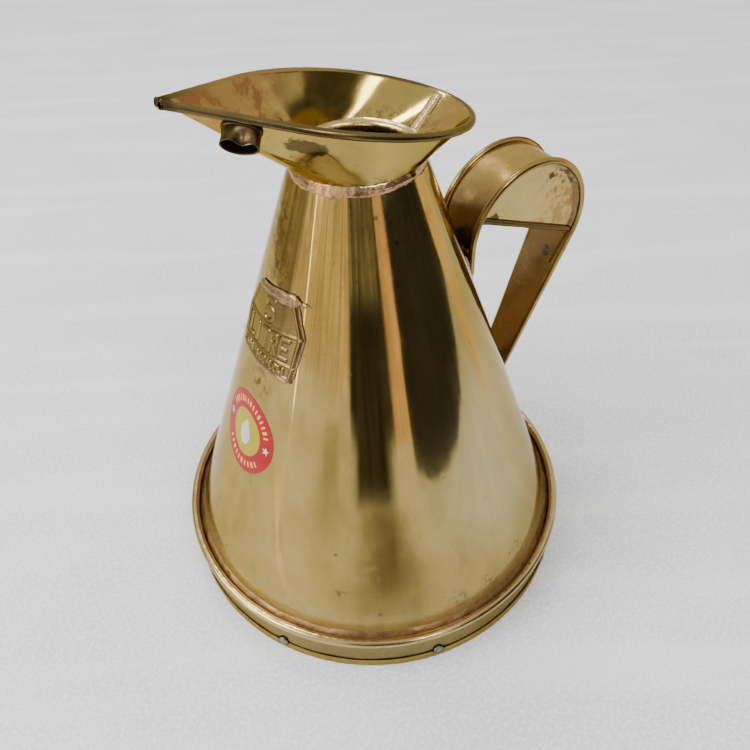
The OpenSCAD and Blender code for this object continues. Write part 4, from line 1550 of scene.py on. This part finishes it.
def along_path(path, share):
    """The point at this share of a path's corners."""
    place = share * (len(path) - 1)
    i = min(int(place), len(path) - 2)
    return Vector(path[i]).lerp(Vector(path[i + 1]), place - i)


def card_object(name, columns, rows, points, fade, material):
    """A card from a grid of points, seen only in the polished brass."""
    card = stage_mesh(name, points, grid_faces(columns, rows), material)
    card.data.attributes.new("fade", "FLOAT", "POINT").data.foreach_set("value", fade)
    card.visible_camera = False
    card.visible_shadow = False
    card.visible_diffuse = False


def make_card(name, path, bottom, top, tint, strength, streak=0.0, soft=0.10):
    """An upright card along a path on the floor, with soft ends and a soft top."""
    wide, tall = 36, 14
    points, fade = [], []
    for i in range(wide + 1):
        x, y = along_path(path, i / wide)
        for j, z in enumerate(evenly(bottom, top, tall)):
            points.append((x, y, z))
            edge = min(i, wide - i) / wide
            rim = (tall - j) / tall if bottom < 0.01 else min(j, tall - j) / tall
            fade.append(smoothstep(edge / soft) * smoothstep(rim / 0.2))
    card_object(name, wide, tall, points, fade, glowing(name, tint, strength, streak))


def make_low_card(name, start, stop, half_wide, tint, strength):
    """A soft strip that lies just over the floor, from start to stop."""
    deep, wide = 24, 12
    start, stop = Vector(start), Vector(stop)
    side = (stop - start).orthogonal().normalized() * half_wide
    points, fade = [], []
    for i in range(deep + 1):
        for j in range(wide + 1):
            p = start.lerp(stop, i / deep) + side * (2 * j / wide - 1)
            points.append((*p, 0.0015))
            ends = smoothstep(min(i, deep - i) / deep / 0.35)
            fade.append(ends * smoothstep(min(j, wide - j) / wide / 0.45))
    card_object(name, deep, wide, points, fade, glowing(name, tint, strength, 0.25))


def arc(distance, start, stop):
    """Corners of an arc round the measure, between two bearings."""
    return [polar(distance, bearing, 0).xy for bearing in evenly(start, stop, 10)]


def make_light(name, bearing, rise, distance, size, power, tint):
    """A soft rectangular light that faces the measure."""
    data = bpy.data.lights.new(name, "AREA")
    data.shape = "RECTANGLE"
    data.size, data.size_y = size
    data.energy = power
    data.color = tint
    light = bpy.data.objects.new(name, data)
    back = direction(bearing, rise)
    light.location = Vector((0, 0, 0.15)) + back * distance
    light.rotation_euler = (-back).to_track_quat("-Z", "Y").to_euler()
    bpy.context.collection.objects.link(light)


def make_world():
    world = bpy.data.worlds.new("studio")
    bpy.context.scene.world = world
    world.use_nodes = True
    shade = world.node_tree.nodes["Background"]
    shade.inputs["Color"].default_value = (1.0, 0.97, 0.93, 1.0)
    shade.inputs["Strength"].default_value = 1.08


def make_cards():
    """The panels that the polished brass mirrors: dark and pale ones low down, warm ones at the sides."""
    dark = (1.0, 0.94, 0.86)
    low_edge = [(-0.02, -0.56), (0.06, -0.47), (0.16, -0.43), (0.60, -0.42), (1.32, -0.43)]
    high_edge = low_edge[:3] + [(0.50, -0.43)]
    make_card("card_right", low_edge, 0.0, 0.40, (0.9, 0.95, 1.0), 0.085, 0.35, 0.03)
    make_card("card_right_top", high_edge, 0.30, 0.66, dark, 0.12, 0.4, 0.015)
    make_card("card_gold", [(0.285, -0.158), (1.2, -0.145)], 0.0, 0.28, (1.0, 0.76, 0.50), 1.8, 0.3, 0.02)
    make_card("card_slit", arc(0.75, 252, 271), 0.0, 0.40, (1.0, 0.66, 0.46), 1.7, 0.4)
    make_card("card_side", arc(0.78, 160, 228), 0.011, 0.46, (1.0, 0.82, 0.62), 1.5, 0.8)
    make_card("card_rear", arc(0.60, 70, 166), 0.02, 0.35, (1.0, 0.86, 0.66), 0.65, 0.6)
    make_card("card_strip", arc(0.70, 173.5, 184), 0.0, 0.42, (1.0, 0.78, 0.58), 4.5, 0.3, 0.35)
    make_card("card_line", arc(0.69, 176.8, 180.0), 0.0, 0.42, (1.0, 0.95, 0.88), 11.0, 0.1, 0.35)
    make_card("card_tall", arc(0.38, 223, 257), 0.088, 0.75, (1.0, 0.98, 0.82), 0.34, 1.3, 0.06)
    make_card("card_middle", arc(0.37, 224, 256), 0.070, 0.24, (0.95, 1.0, 0.95), 0.07, 0.5, 0.08)
    make_card("card_short", arc(0.36, 225, 254), 0.011, 0.20, dark, 0.09, 0.6, 0.25)
    # card_low is a dim strip over the floor in front, seen only in the brass: painted shade on that floor.
    make_low_card("card_low", (-0.068, -0.137), (-0.222, -0.450), 0.120, dark, 0.46)
    make_low_card("card_olive", (-0.19, -0.13), (-0.80, -0.46), 0.130, (0.97, 1.0, 0.84), 1.00)
    make_low_card("card_thin", (-0.158, -0.083), (-0.42, 0.050), 0.0085, (1.0, 0.84, 0.62), 3.0)


def make_studio():
    make_floor()
    make_world()
    make_light("key", 168, 42, 1.9, (1.3, 0.9), 34, (0.97, 0.98, 1.0))
    make_light("front", 272, 47, 1.7, (0.50, 0.26), 8, (1.0, 0.98, 0.95))
    make_light("back", 80, 63, 1.7, (0.40, 0.22), 7, (1.0, 0.98, 0.95))
    make_cards()


make_measure()
make_camera()
make_studio()
